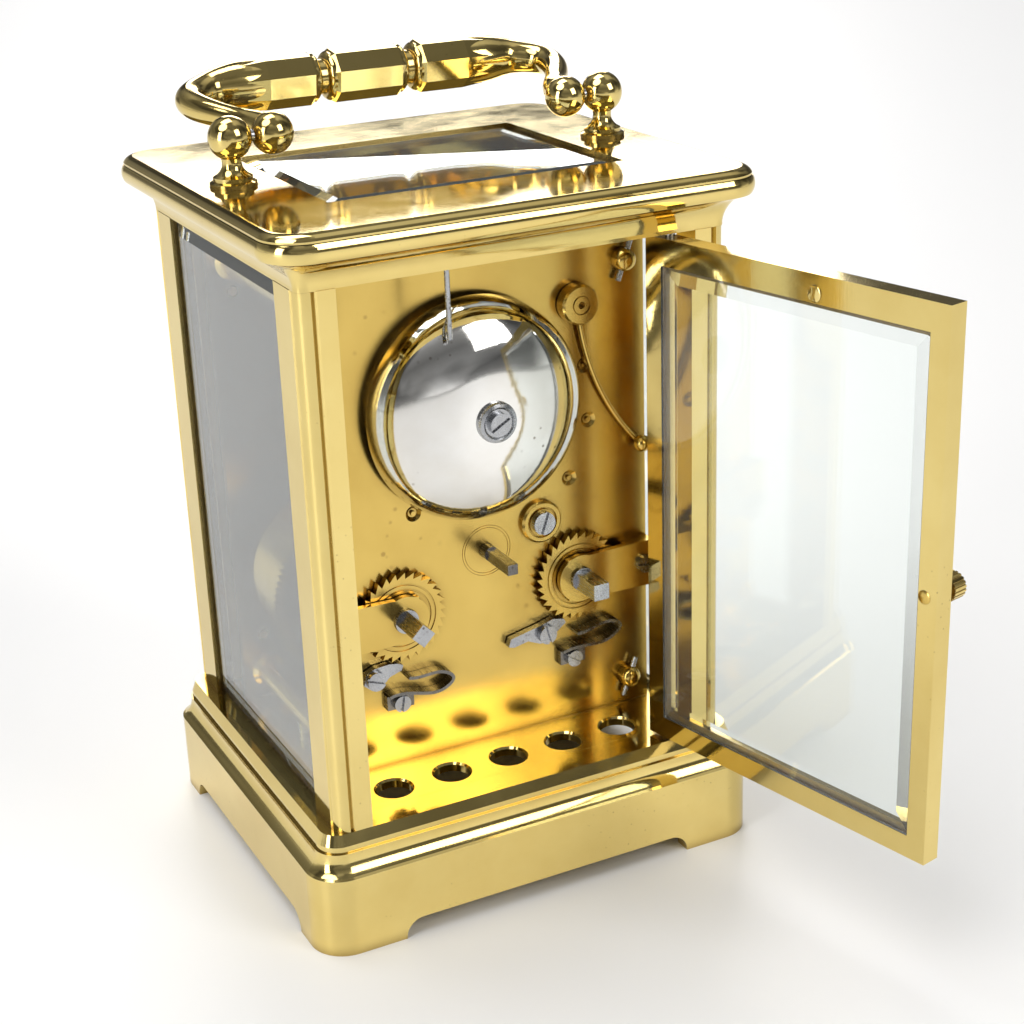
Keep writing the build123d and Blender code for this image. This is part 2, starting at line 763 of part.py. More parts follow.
finish(carry_handle.part, "carry_handle")

# ---------------------------------------------------------------- back door
# Drawn in its own plane: u runs from the pivot towards the latch and v out through the outer face.
door_turn = math.radians(door_open_angle)
door_run = Vector(math.cos(door_turn), math.sin(door_turn), 0)
door_out = Vector(-math.sin(door_turn), math.cos(door_turn), 0)
door_pivot = Vector(door_pivot_x, half_case_y - door_pivot_from_back, 0)
door_plane = Plane(origin=door_pivot, x_dir=door_run, z_dir=(0, 0, 1))
door_hinge_edge = -(post_inner_x - door_gap) - door_pivot_x
door_latch_edge = post_inner_x - door_gap - door_pivot_x
door_outer = door_pivot_from_back
door_inner = door_outer - door_thickness
door_low = floor_top + door_end_gap
door_high = case_top - door_end_gap
stile_low = door_low + door_foot_width
stile_high = door_high - door_rail_width
rebate_outer = door_inner + door_glass_thickness + fit


def door_block(u, v, z, mode=Mode.ADD):
    """A block of the door; u, v and z are (from, to) pairs."""
    with BuildSketch(door_plane.offset(z[0])) as section:
        with Locations(((u[0] + u[1]) / 2, (v[0] + v[1]) / 2)):
            Rectangle(u[1] - u[0], v[1] - v[0])
    extrude(section.sketch, amount=z[1] - z[0], mode=mode)


def door_stile(outer_edge, inner_edge):
    """One upright of the door, rebated for the glass and tenoned at both ends."""
    across = math.copysign(1, inner_edge - outer_edge)
    door_block(sorted((outer_edge, inner_edge)), (door_inner, door_outer), (stile_low, stile_high))
    rebate = sorted((inner_edge + across, inner_edge - across * door_glass_rebate))
    door_block(rebate, (door_inner - 1, rebate_outer), (stile_low - 1, stile_high + 1), Mode.SUBTRACT)
    middle = (outer_edge + inner_edge - across * door_glass_rebate) / 2
    tenon_u = (middle - tenon_width / 2, middle + tenon_width / 2)
    tenon_v = (door_outer - 0.5 - tenon_thickness, door_outer - 0.5)
    door_block(tenon_u, tenon_v, (stile_low - tenon_length, stile_high + tenon_length))


def door_rail(z, rebate_z, tenon_z, pivot_z):
    """One cross rail over the full width, mortised for the stiles and bored for the pivot."""
    door_block((door_hinge_edge, door_latch_edge), (door_inner, door_outer), z)
    door_block((door_hinge_edge + door_stile_width - door_glass_rebate,
                door_latch_edge - door_stile_width + door_glass_rebate),
               (door_inner - 1, rebate_outer), rebate_z, Mode.SUBTRACT)
    for outer_edge, across in ((door_hinge_edge, 1), (door_latch_edge, -1)):
        middle = outer_edge + across * (door_stile_width - door_glass_rebate) / 2
        half = tenon_width / 2 + seat
        door_block((middle - half, middle + half),
                   (door_outer - 0.5 - tenon_thickness - seat, door_outer - 0.5 + seat), tenon_z,
                   Mode.SUBTRACT)
    with BuildSketch(door_plane.offset(pivot_z[0])) as bore:
        Circle(door_pivot_radius + fit)
    extrude(bore.sketch, amount=pivot_z[1] - pivot_z[0], mode=Mode.SUBTRACT)


with BuildPart() as door_hinge_stile:
    door_stile(door_hinge_edge, door_hinge_edge + door_stile_width)
finish(door_hinge_stile.part, "door_hinge_stile")

with BuildPart() as door_latch_stile:
    door_stile(door_latch_edge, door_latch_edge - door_stile_width)
finish(door_latch_stile.part, "door_latch_stile")

with BuildPart() as door_top_rail:
    door_rail((stile_high, door_high), (stile_high - 1, stile_high + door_glass_rebate),
              (stile_high - 1, stile_high + tenon_length + fit),
              (door_high - pivot_reach - fit, door_high + 1))
finish(door_top_rail.part, "door_top_rail")

with BuildPart() as door_bottom_rail:
    door_rail((door_low, stile_low), (stile_low - door_glass_rebate, stile_low + 1),
              (stile_low - tenon_length - fit, stile_low + 1),
              (door_low - 1, door_low + pivot_reach + fit))
finish(door_bottom_rail.part, "door_bottom_rail")

door_pane_width = door_latch_edge - door_hinge_edge - 2 * (door_stile_width - door_glass_rebate + fit)
door_pane_height = stile_high - stile_low + 2 * (door_glass_rebate - fit)
door_middle = door_pivot + door_run * (door_hinge_edge + door_latch_edge) / 2
with BuildPart() as door_glass:
    door_pane = bevelled_pane(door_pane_width, door_pane_height, door_glass_thickness, glass_bevel)
    pane_centre = door_middle + door_out * door_inner + Vector(0, 0, (stile_low + stile_high) / 2)
    add(Plane(origin=pane_centre, x_dir=door_run, z_dir=door_out) * door_pane)
finish(door_glass.part, "door_glass")

knob_centre = door_pivot + door_run * (door_latch_edge - door_stile_width / 2) + door_out * door_outer
knob_centre += Vector(0, 0, (door_low + door_high) / 2)
knob_plane = Plane(origin=knob_centre, x_dir=(0, 0, 1), z_dir=door_out)
with BuildPart() as door_knob:
    with BuildSketch(knob_plane):
        Circle(0.62 * knob_radius)
    extrude(amount=knob_collar)
    with BuildSketch(knob_plane.offset(knob_collar)):
        Circle(knob_radius)
        with PolarLocations(knob_radius, 20):
            Circle(0.18, mode=Mode.SUBTRACT)
    extrude(amount=knob_height - knob_collar)
finish(door_knob.part, "door_knob")

with BuildPart() as door_pins:
    with BuildSketch(door_plane.offset(floor_top - pin_root)):
        Circle(door_pivot_radius)
    extrude(amount=pin_root + door_end_gap + pivot_reach)
    with BuildSketch(door_plane.offset(case_top + pin_root)):
        Circle(door_pivot_radius)
    extrude(amount=-(pin_root + door_end_gap + pivot_reach))
finish(door_pins.part, "door_pins")

# ---------------------------------------------------------------- movement frame
pillar_places = [(x, z) for x in (-pillar_x, pillar_x) for z in (pillar_low, pillar_high)]
train_arbors = [going_intermediate_at, dial_centre, third_at, contrate_at,
                strike_intermediate_at, pin_wheel_at, warning_at, fly_at]
half_plate = plate_width / 2
plate_outline = [(-half_plate, floor_top), (half_plate, floor_top), (half_plate, plate_top),
                 (-half_plate, plate_top)]
bridge_screws = [(winder_x + 13.4, winder_z - 3.6), (-winder_x - 14.3, winder_z + 0.1)]
click_pivots = [(25.6, 44.0), (-11.5, 44.7)]
spring_feet = [(20.4, 37.7), (-17.7, 37.8)]
dial_feet = [(x, z) for x in (-18.0, 18.0) for z in (63.0, 97.0)]
mask_feet = [(x, z) for x in (-31.0, 31.0) for z in (38.0, 112.0)]
platform_screws = [(x, y) for x in (-11.6, 11.6) for y in (back_plate_rear - 1.1, front_plate_front + 1.1)]


def sink_and_hole(centre, face, into, radius=pivot_radius):
    """A running hole with an oil sink round its outer end; into is -1 or +1 along Y."""
    turning(centre,
            [(0, face - into), (radius + fit, face - into), (radius + fit, face + into * 3),
             (0, face + into * 3)],
            Mode.SUBTRACT)
    turning(centre,
            [(0, face - into), (1.6, face - into), (1.6, face), (0.9, face + into * 0.6),
             (0, face + into * 0.6)],
            Mode.SUBTRACT)


def bore(centre, radius, rear, front):
    rod(centre, radius, rear, front, Mode.SUBTRACT)


def ring_groove(centre, radius, width, face, depth):
    """A turned groove cut into a face that looks to the rear; radius is the groove's inner one."""
    turning(centre,
            [(radius, face + 1), (radius + width, face + 1), (radius + width, face - depth),
             (radius, face - depth)],
            Mode.SUBTRACT)


with BuildPart() as back_plate:
    slab(plate_outline, back_plate_rear, plate_thickness)
    rear, front = back_plate_rear + 1, back_plate_front - 1
    for place in pillar_places:
        bore(place, pillar_end_radius + seat, rear, front)
    for place in train_arbors:
        if place != third_at:
            sink_and_hole(place, back_plate_rear, -1)
    bore(third_at, pivot_radius + fit, rear, front)
    for place in (going_winder_at, strike_winder_at):
        bore(place, winding_arbor_radius + fit, rear, front)
    bore(set_arbor_at, setting_arbor_radius + fit, rear, front)
    for radius in (set_ring_radius, set_ring_radius - 0.5):
        ring_groove(set_arbor_at, radius, 0.14, back_plate_rear, 0.12)
    bore(hammer_at, hammer_arbor_radius + fit, rear, front)
    bore(bell_at, bell_screw_radius + seat, rear, front)
    for place in bridge_screws + click_pivots + spring_feet + [bush_at]:
        bore(place, screw_radius + seat, rear, front)
    for x, y in platform_screws:
        if y > 0:
            upright(x, y,
                    [(0, plate_top - 4), (0.7 + seat, plate_top - 4), (0.7 + seat, plate_top + 1),
                     (0, plate_top + 1)],
                    Mode.SUBTRACT)
finish(back_plate.part, "back_plate")

with BuildPart() as front_plate:
    slab(plate_outline, front_plate_rear, plate_thickness)
    rear, front = front_plate_rear + 1, front_plate_front - 1
    for place in pillar_places:
        bore(place, pillar_end_radius + seat, rear, front)
    for place in train_arbors:
        if place != dial_centre:
            sink_and_hole(place, front_plate_front, 1)
    bore(dial_centre, arbor_radius + fit, rear, front)
    bore(set_arbor_at, arbor_radius + fit, rear, front)
    for place in (going_winder_at, strike_winder_at):
        bore(place, winding_pivot_radius + fit, rear, front)
    bore(hammer_at, pivot_radius + fit, rear, front)
    for place in dial_feet + mask_feet:
        bore(place, foot_radius + seat, rear, front)
    for x, y in platform_screws:
        if y < 0:
            upright(x, y,
                    [(0, plate_top - 4), (0.7 + seat, plate_top - 4), (0.7 + seat, plate_top + 1),
                     (0, plate_top + 1)],
                    Mode.SUBTRACT)
finish(front_plate.part, "front_plate")

taper_pin_y = back_plate_rear + 1.3


def taper_pin(centre, radius, mode=Mode.ADD):
    lean_to = math.radians(20) * math.copysign(1, centre[0])
    axis_plane = Plane(origin=(centre[0], taper_pin_y, centre[1]), x_dir=(0, 1, 0),
                       z_dir=(math.sin(lean_to), 0, math.cos(lean_to)))
    with BuildSketch(axis_plane) as section:
        Circle(radius)
    extrude(section.sketch, amount=4.2, both=True, mode=mode)


with BuildPart() as pillars:
    for place in pillar_places:
        shoulder = pillar_radius + 0.9
        turning(place,
                [(0, back_plate_rear + pillar_tail), (pillar_end_radius, back_plate_rear + pillar_tail),
                        (pillar_end_radius, back_plate_front), (shoulder, back_plate_front),
                        (shoulder, back_plate_front - 1.0), (pillar_radius, back_plate_front - 1.8),
                        (pillar_radius, front_plate_rear + 1.8), (shoulder, front_plate_rear + 1.0),
                        (shoulder, front_plate_rear), (pillar_end_radius, front_plate_rear),
                        (pillar_end_radius, front_plate_front), (0, front_plate_front)])
    fillet(pillars.edges().group_by(Axis.Y)[-1], pillar_dome)
    for place in pillar_places:
        taper_pin(place, taper_pin_radius + seat, Mode.SUBTRACT)
        if place[1] == pillar_low:
            upright(place[0], movement_screw_y, [(0, floor_top), (screw_radius + seat, floor_top),
                                                 (screw_radius + seat, pillar_low + 0.6),
                                                 (0, pillar_low + 0.6)],
                    Mode.SUBTRACT)
finish(pillars.part, "pillars")

# ---------------------------------------------------------------- dial and motion work
mask_front = dial_front - mask_thickness
half_mask = post_inner_x - mask_gap
with BuildPart() as dial_mask:
    slab([(-half_mask, floor_top), (half_mask, floor_top), (half_mask, case_top - mask_gap),
          (-half_mask, case_top - mask_gap)], dial_front, mask_thickness)
    bore(dial_centre, dial_radius - 1.2, dial_front + 1, mask_front - 1)
    for place in mask_feet:
        rod(place, foot_radius, front_plate_rear, dial_front)
finish(dial_mask.part, "dial_mask")

with BuildPart() as dial:
    rod(dial_centre, dial_radius, dial_back, dial_front)
    for place in dial_feet:
        rod(place, foot_radius, front_plate_rear, dial_back)
    bore(dial_centre, hour_pipe_radius + 0.3, dial_back + 1, dial_front - 1)
finish(dial.part, "dial")

minute_level = front_plate_front - 1.0
hour_level = minute_level - 2.6
hour_hand_rear = dial_front - 0.5
minute_hand_rear = dial_front - 1.6
cannon_module = module_for(dial_centre, cannon_teeth, set_arbor_at, minute_wheel_teeth)
hour_module = module_for(dial_centre, hour_wheel_teeth, set_arbor_at, minute_pinion_teeth)
minute_wheel_angle = meshed(dial_centre, cannon_teeth, 0, set_arbor_at, minute_wheel_teeth)
hour_wheel_angle = meshed(set_arbor_at, minute_pinion_teeth, minute_pinion_angle, dial_centre,
                          hour_wheel_teeth)

with BuildPart() as cannon_pinion:
    slab(toothed_outline(dial_centre, cannon_teeth, cannon_module, 0), minute_level, motion_thickness)
    rod(dial_centre, cannon_radius, minute_level, minute_hand_rear)
    rod(dial_centre, cannon_radius - 0.35, minute_hand_rear, minute_hand_rear - hand_thickness)
    bore(dial_centre, arbor_radius + fit, minute_level + 1, minute_hand_rear - hand_thickness - 1)
finish(cannon_pinion.part, "cannon_pinion")

with BuildPart() as hour_wheel:
    slab(toothed_outline(dial_centre, hour_wheel_teeth, hour_module, hour_wheel_angle), hour_level,
         motion_thickness)
    rod(dial_centre, hour_pipe_radius, hour_level, hour_hand_rear)
    rod(dial_centre, hour_pipe_radius - 0.35, hour_hand_rear, hour_hand_rear - hand_thickness)
    bore(dial_centre, cannon_radius + fit, hour_level + 1, hour_hand_rear - hand_thickness - 1)
finish(hour_wheel.part, "hour_wheel")

with BuildPart() as minute_wheel:
    slab(toothed_outline(set_arbor_at, minute_wheel_teeth, cannon_module, minute_wheel_angle), minute_level,
         motion_thickness)
    slab(toothed_outline(set_arbor_at, minute_pinion_teeth, hour_module, minute_pinion_angle),
         minute_level - motion_thickness, minute_level - hour_level)
    bore(set_arbor_at, arbor_radius + seat, minute_level + 1, dial_back)
finish(minute_wheel.part, "minute_wheel")


def square_tail(centre, size, start, turn):
    with BuildSketch(facing_front(square_end)) as square:
        with Locations(Location((centre[0], centre[1], 0), (0, 0, turn))):
            Rectangle(size, size)
    extrude(square.sketch, amount=square_end - start)


with BuildPart() as hand_set_arbor:
    turning(set_arbor_at, [(0, back_plate_rear + 2.4), (setting_arbor_radius, back_plate_rear + 2.4),
                           (setting_arbor_radius, back_plate_front - 0.3),
                           (setting_arbor_radius + 1, back_plate_front - 0.3),
                           (setting_arbor_radius + 1, back_plate_front - 1.3),
                           (arbor_radius, back_plate_front - 1.3),
                           (arbor_radius, hour_level - motion_thickness), (0, hour_level - motion_thickness)])
    square_tail(set_arbor_at, setting_square, back_plate_rear + 2.4, 0)
finish(hand_set_arbor.part, "hand_set_arbor")


def hand(outline_points, hub, hub_bore, rear):
    """A flat hand pointing straight up; the outline gives its right-hand edge from hub to tip."""
    right = [(dial_centre[0] + x, dial_centre[1] + z) for x, z in outline_points]
    left = [(dial_centre[0] - x, dial_centre[1] + z) for x, z in reversed(outline_points)]
    slab(right + left, rear, hand_thickness)
    rod(dial_centre, hub, rear, rear - hand_thickness)
    bore(dial_centre, hub_bore, rear + 1, rear - hand_thickness - 1)


with BuildPart() as hour_hand:
    hand([(0.8, 1.5), (0.65, 0.66 * hour_hand_length), (2.3, 0.76 * hour_hand_length),
          (0.45, 0.90 * hour_hand_length),
          (0.08, hour_hand_length)], hour_pipe_radius + 0.9, hour_pipe_radius - 0.35 + seat, hour_hand_rear)
finish(hour_hand.part, "hour_hand")

with BuildPart() as minute_hand:
    hand([(0.7, 1.0), (0.5, 0.74 * minute_hand_length), (1.5, 0.81 * minute_hand_length),
          (0.35, 0.9 * minute_hand_length),
          (0.08, minute_hand_length)], cannon_radius + 0.6, cannon_radius - 0.35 + seat, minute_hand_rear)
finish(minute_hand.part, "minute_hand")

# ---------------------------------------------------------------- winding work
drum_front = drum_rear - great_thickness - barrel_height - 1.0
ratchet_front = ratchet_rear - ratchet_thickness
arbor_tail = bridge_rear + 0.6


def winding_arbor(centre, square_turn):
    """The steel arbor that winds a barrel: square outside, core inside the barrel, pivot in front."""
    core_rear, core_front = drum_rear - great_thickness - 0.3, drum_front + 1.3
    turning(centre, [(0, arbor_tail), (winding_arbor_radius, arbor_tail), (winding_arbor_radius, core_rear),
                     (core_radius, core_rear), (core_radius, core_front), (winding_arbor_radius, core_front),
                     (winding_arbor_radius, front_plate_rear + 0.15),
                     (winding_pivot_radius, front_plate_rear + 0.15),
                     (winding_pivot_radius, front_plate_front + fit), (0, front_plate_front + fit)])
    square_tail(centre, winding_square, arbor_tail, square_turn)


def barrel(centre, angle):
    """Barrel drum with the great wheel's teeth on its rear cover and a cover pressed in at the front."""
    hub = winding_arbor_radius + fit
    great_front = drum_rear - great_thickness
    great_module = 2 * distance(going_winder_at,
                                going_intermediate_at) / (barrel_teeth + intermediate_pinion_leaves)
    slab(toothed_outline(centre, barrel_teeth, great_module, angle), drum_rear, great_thickness)
    rod(centre, drum_radius, great_front, drum_front)
    bore(centre, drum_radius - drum_wall, great_front, drum_front + 1.0)
    bore(centre, hub, drum_rear + 1, drum_front - 1)


def ratchet(centre, radius, hand, angle):
    slab(ratchet_outline(centre, ratchet_teeth, radius, angle, hand), ratchet_rear, ratchet_thickness)
    for ring in ratchet_ring_radii:
        ring_groove(centre, ring, 0.4, ratchet_rear, 0.2)
    bore(centre, winding_arbor_radius + seat, ratchet_rear + 1, ratchet_front - 1)


with BuildPart() as going_winding_arbor:
    winding_arbor(going_winder_at, going_square_turn)
finish(going_winding_arbor.part, "going_winding_arbor")

with BuildPart() as strike_winding_arbor:
    winding_arbor(strike_winder_at, strike_square_turn)
finish(strike_winding_arbor.part, "strike_winding_arbor")

with BuildPart() as going_ratchet:
    ratchet(going_winder_at, ratchet_radius, 1, 0)
finish(going_ratchet.part, "going_ratchet")

with BuildPart() as strike_ratchet:
    ratchet(strike_winder_at, ratchet_radius, 1, 6)
finish(strike_ratchet.part, "strike_ratchet")

with BuildPart() as going_barrel:
    barrel(going_winder_at, going_barrel_angle)
finish(going_barrel.part, "going_barrel")

with BuildPart() as strike_barrel:
    barrel(strike_winder_at, strike_barrel_angle)
finish(strike_barrel.part, "strike_barrel")

spring_outer = drum_radius - drum_wall - 0.2
spring_ends = (drum_rear - great_thickness - 0.8, drum_front + 1.8)
with BuildPart() as going_mainspring:
    rod(going_winder_at, spring_outer, *spring_ends)
    bore(going_winder_at, 0.62 * spring_outer, spring_ends[0] + 1, spring_ends[1] - 1)
finish(going_mainspring.part, "going_mainspring")

with BuildPart() as strike_mainspring:
    rod(strike_winder_at, spring_outer, *spring_ends)
    bore(strike_winder_at, 0.62 * spring_outer, spring_ends[0] + 1, spring_ends[1] - 1)
finish(strike_mainspring.part, "strike_mainspring")

# Clicks: outlines from the pivot, (x, z) offsets from the pivot screw.
click_thickness = ratchet_thickness
strike_click_outline = [(-4.1, 2.2), (-1.7, 2.7), (1.1, 1.9), (5.0, 1.1), (7.8, 0.5), (8.3, -1.1),
                        (7.1, -1.4),
                        (4.0, -0.8), (1.3, -2.0), (-1.1, -1.9), (-2.7, -0.1), (-4.6, 1.3)]
going_click_outline = [(-4.9, 2.2), (-3.0, 2.5), (-0.2, 2.3), (1.8, 1.4), (2.3, -0.8), (0.7, -2.2),
                       (-1.4, -1.8),
                       (-3.1, -0.2), (-5.6, 0.6), (-6.0, 1.6)]


def click(centre, outline):
    slab([(centre[0] + x, centre[1] + z) for x, z in outline], ratchet_rear, click_thickness)
    bore(centre, screw_radius + fit, ratchet_rear + 1, ratchet_front - 1)


with BuildPart() as going_click:
    click(click_pivots[0], going_click_outline)
finish(going_click.part, "going_click")

with BuildPart() as strike_click:
    click(click_pivots[1], strike_click_outline)
finish(strike_click.part, "strike_click")


def click_spring(foot, points):
    """A strip spring on edge: a screwed foot block, then a U whose free end presses the click."""
    with BuildSketch(facing_front(back_plate_rear + 0.1 + spring_width)) as strip:
        with BuildLine() as bow:
            Spline([(foot[0] + x, foot[1] + z) for x, z in points])
        trace(bow.line, line_width=spring_strip)
    extrude(strip.sketch, amount=spring_width)
    with BuildSketch(facing_front(back_plate_rear + 0.1 + spring_foot_thickness)) as block_foot:
        with Locations((foot[0], foot[1] + 0.2)):
            Rectangle(5.6, 3.0)
    extrude(block_foot.sketch, amount=spring_foot_thickness)
    bore(foot, screw_radius + seat, back_plate_rear + 3, back_plate_rear - 1)


with BuildPart() as click_springs:
    click_spring(spring_feet[0],
                 [(2.6, 1.9), (-3.0, 1.6), (-9.6, 1.4), (-11.0, 2.9), (-9.6, 4.4), (-5.0, 4.9), (-1.6, 5.2)])
    click_spring(spring_feet[1],
                 [(2.6, 1.9), (-3.0, 2.3), (-9.4, 3.4), (-10.6, 5.0), (-9.0, 6.2), (-4.6, 5.9), (-0.6, 5.4)])
finish(click_springs.part, "click_springs")

with BuildPart() as ratchet_bridges:
    for centre, screw, edge in ((going_winder_at, bridge_screws[0], half_plate),
                                (strike_winder_at, bridge_screws[1], -half_plate)):
        out = math.copysign(1, edge)
        low, high = centre[1] - 0.9 * bridge_half, centre[1] + 0.9 * bridge_half
        inner, outer = centre[0] - out * 2.9, edge - out * 0.3
        arm = [(inner, low), (outer, centre[1] - bridge_half), (outer, centre[1] + bridge_half),
               (inner, high)]
        slab(arm, bridge_rear, bridge_thickness)
        foot_inner = edge - out * foot_length
        foot = [(foot_inner, centre[1] - bridge_half + 0.5), (outer, centre[1] - bridge_half),
                (outer, centre[1] + bridge_half), (foot_inner, centre[1] + bridge_half - 0.5)]
        slab(foot, bridge_rear, bridge_rear - back_plate_rear)
        rod(centre, bridge_half, bridge_rear, bridge_rear - bridge_thickness)
        bore(centre, winding_arbor_radius + fit, bridge_rear + 1, back_plate_rear)
        bore(screw, screw_radius + seat, bridge_rear + 1, back_plate_rear - 1)
finish(ratchet_bridges.part, "ratchet_bridges")

with BuildPart() as eccentric_bush:
    turning(bush_at,
            [(0, back_plate_rear), (bush_radius, back_plate_rear),
             (bush_radius, back_plate_rear + bush_height - 0.4),
                      (bush_radius - 0.4, back_plate_rear + bush_height), (0, back_plate_rear + bush_height)])
    ring_groove(bush_at, 2.7, 0.5, back_plate_rear + bush_height, 0.5)
    bore(bush_at, screw_radius + seat, back_plate_rear + 3, back_plate_rear - 1)
finish(eccentric_bush.part, "eccentric_bush")

bell_inside_y = bell_apex_y - bell_wall
with BuildPart() as plate_screws:
    for place in pillar_places:
        taper_pin(place, taper_pin_radius)
    for place, head_rear, turn in ((click_pivots[0], ratchet_rear + 1.2, 20),
                                   (click_pivots[1], ratchet_rear + 1.2, 75)):
        slotted_screw(place, 1.9, head_rear, 1.2 - fit, screw_radius, head_rear - 1.2 - back_plate_front,
                      turn)
    for place, turn in ((spring_feet[0], 100), (spring_feet[1], 35)):
        head_rear = back_plate_rear + 0.1 + spring_foot_thickness + 1.1
        slotted_screw(place, 1.7, head_rear, 1.1, screw_radius, head_rear - 1.1 - back_plate_front, turn)
    for place, turn in ((bridge_screws[0], 60), (bridge_screws[1], 10)):
        slotted_screw(place, 1.8, bridge_rear + 1.0, 1.0, screw_radius, bridge_rear - back_plate_front, turn)
    bush_head = back_plate_rear + bush_height + 1.0
    slotted_screw(bush_at, 2.3, bush_head, 1.0, screw_radius, bush_head - 1.0 - back_plate_front, 110)
    bell_head = bell_apex_y + 2.0
    slotted_screw(bell_at, 2.1, bell_head, 1.1, bell_screw_radius, 7.0, 150)
    turning(bell_at,
            [(bell_screw_radius + seat, bell_head - 1.1), (bell_washer_radius - 1.2, bell_head - 1.1),
                      (bell_washer_radius - 0.8, bell_head - 0.8),
                      (bell_washer_radius - 0.2, bell_head - 1.0),
                      (bell_washer_radius, bell_head - 1.5), (bell_washer_radius, bell_apex_y),
                      (bell_screw_radius + seat, bell_apex_y)])
    for x, y in platform_screws:
        top = plate_top + platform_thickness
        upright(x, y,
                [(0, top + 0.9), (1.4, top + 0.9), (1.4, top), (0.7, top), (0.7, plate_top - 3.6),
                 (0, plate_top - 3.6)])
finish(plate_screws.part, "plate_screws")

# ---------------------------------------------------------------- going train
going_drive_module = module_for(going_winder_at, barrel_teeth, going_intermediate_at,
                                intermediate_pinion_leaves)
centre_drive_module = module_for(going_intermediate_at, going_intermediate_teeth, dial_centre,
                                 centre_pinion_leaves)
third_drive_module = module_for(dial_centre, centre_teeth, third_at, third_pinion_leaves)
contrate_drive_module = module_for(third_at, third_teeth, contrate_at, contrate_pinion_leaves)
going_intermediate_angle = meshed(going_winder_at, barrel_teeth, going_barrel_angle, going_intermediate_at,
                                  intermediate_pinion_leaves)
centre_angle = meshed(going_intermediate_at, going_intermediate_teeth, going_intermediate_angle, dial_centre,
                      centre_pinion_leaves)
third_angle = meshed(dial_centre, centre_teeth, centre_angle, third_at, third_pinion_leaves)
contrate_pinion_angle = meshed(third_at, third_teeth, third_angle, contrate_at, contrate_pinion_leaves)
great_level = drum_rear
contrate_level = escape_y - 1.6

with BuildPart() as going_intermediate_wheel:
    crossed_wheel(going_intermediate_at, going_intermediate_teeth, centre_drive_module,
                  going_intermediate_angle,
                  intermediate_level, 4)
    arbor_with_pinion(going_intermediate_at, intermediate_pinion_leaves, going_drive_module,
                      going_intermediate_angle,
                      great_level + 1.0)
finish(going_intermediate_wheel.part, "going_intermediate_wheel")

arbor_end = minute_hand_rear - hand_thickness - 0.4
with BuildPart() as centre_wheel:
    crossed_wheel(dial_centre, centre_teeth, third_drive_module, centre_angle, centre_level, 4)
    arbor_with_pinion(dial_centre, centre_pinion_leaves, centre_drive_module, centre_angle,
                      intermediate_level + 1.0)
    rod(dial_centre, arbor_radius, front_plate_rear + 1, arbor_end)
finish(centre_wheel.part, "centre_wheel")

with BuildPart() as third_wheel:
    crossed_wheel(third_at, third_teeth, contrate_drive_module, third_angle, third_level, 4)
    arbor_with_pinion(third_at, third_pinion_leaves, third_drive_module, third_angle, centre_level + 1.2)
finish(third_wheel.part, "third_wheel")

with BuildPart() as contrate_wheel:
    rod(contrate_at, contrate_radius + contrate_face / 2, contrate_level, contrate_level - wheel_thickness)
    with BuildSketch(facing_front(contrate_level)) as windows:
        with Locations((contrate_at[0], contrate_at[1])):
            Circle(contrate_radius - contrate_face / 2 - 0.8)
            Circle(arbor_radius + 1.3, mode=Mode.SUBTRACT)
            with PolarLocations(0, 3, start_angle=90):
                Rectangle(contrate_radius, 1.3, align=(Align.MIN, Align.CENTER), mode=Mode.SUBTRACT)
    extrude(windows.sketch, amount=wheel_thickness, mode=Mode.SUBTRACT)
    with BuildSketch(facing_front(contrate_level)) as teeth:
        with Locations((contrate_at[0], contrate_at[1])):
            with PolarLocations(contrate_radius, contrate_teeth, start_angle=90):
                Rectangle(contrate_face, contrate_tooth_width)
    extrude(teeth.sketch, amount=-contrate_tooth_height)
    arbor_with_pinion(contrate_at, contrate_pinion_leaves, contrate_drive_module, contrate_pinion_angle,
                      third_level + 1.2)
finish(contrate_wheel.part, "contrate_wheel")

# ---------------------------------------------------------------- strike train
strike_drive_module = module_for(strike_winder_at, barrel_teeth, strike_intermediate_at,
                                 intermediate_pinion_leaves)
pin_drive_module = module_for(strike_intermediate_at, strike_intermediate_teeth, pin_wheel_at,
                              pin_wheel_leaves)
warning_drive_module = module_for(pin_wheel_at, pin_wheel_teeth, warning_at, warning_leaves)
fly_drive_module = module_for(warning_at, warning_teeth, fly_at, fly_leaves)
strike_intermediate_angle = meshed(strike_winder_at, barrel_teeth, strike_barrel_angle,
                                   strike_intermediate_at,
                                   intermediate_pinion_leaves)
pin_wheel_angle = meshed(strike_intermediate_at, strike_intermediate_teeth, strike_intermediate_angle,
                         pin_wheel_at,
                         pin_wheel_leaves)
warning_angle = meshed(pin_wheel_at, pin_wheel_teeth, pin_wheel_angle, warning_at, warning_leaves)
fly_angle = meshed(warning_at, warning_teeth, warning_angle, fly_at, fly_leaves)

with BuildPart() as strike_intermediate_wheel:
    crossed_wheel(strike_intermediate_at, strike_intermediate_teeth, pin_drive_module,
                  strike_intermediate_angle,
                  intermediate_level, 4)
    arbor_with_pinion(strike_intermediate_at, intermediate_pinion_leaves, strike_drive_module,
                      strike_intermediate_angle, great_level + 1.0)
finish(strike_intermediate_wheel.part, "strike_intermediate_wheel")

with BuildPart() as pin_wheel:
    crossed_wheel(pin_wheel_at, pin_wheel_teeth, warning_drive_module, pin_wheel_angle, pin_level, 4)
    arbor_with_pinion(pin_wheel_at, pin_wheel_leaves, pin_drive_module, pin_wheel_angle,
                      intermediate_level + 1.0)
    with BuildSketch(facing_front(pin_level)) as pins:
        with Locations((pin_wheel_at[0], pin_wheel_at[1])):
            with PolarLocations(pin_wheel_teeth * warning_drive_module / 2 - 1.2, 9):
                Circle(0.3)
    extrude(pins.sketch, amount=-2.4)
finish(pin_wheel.part, "pin_wheel")

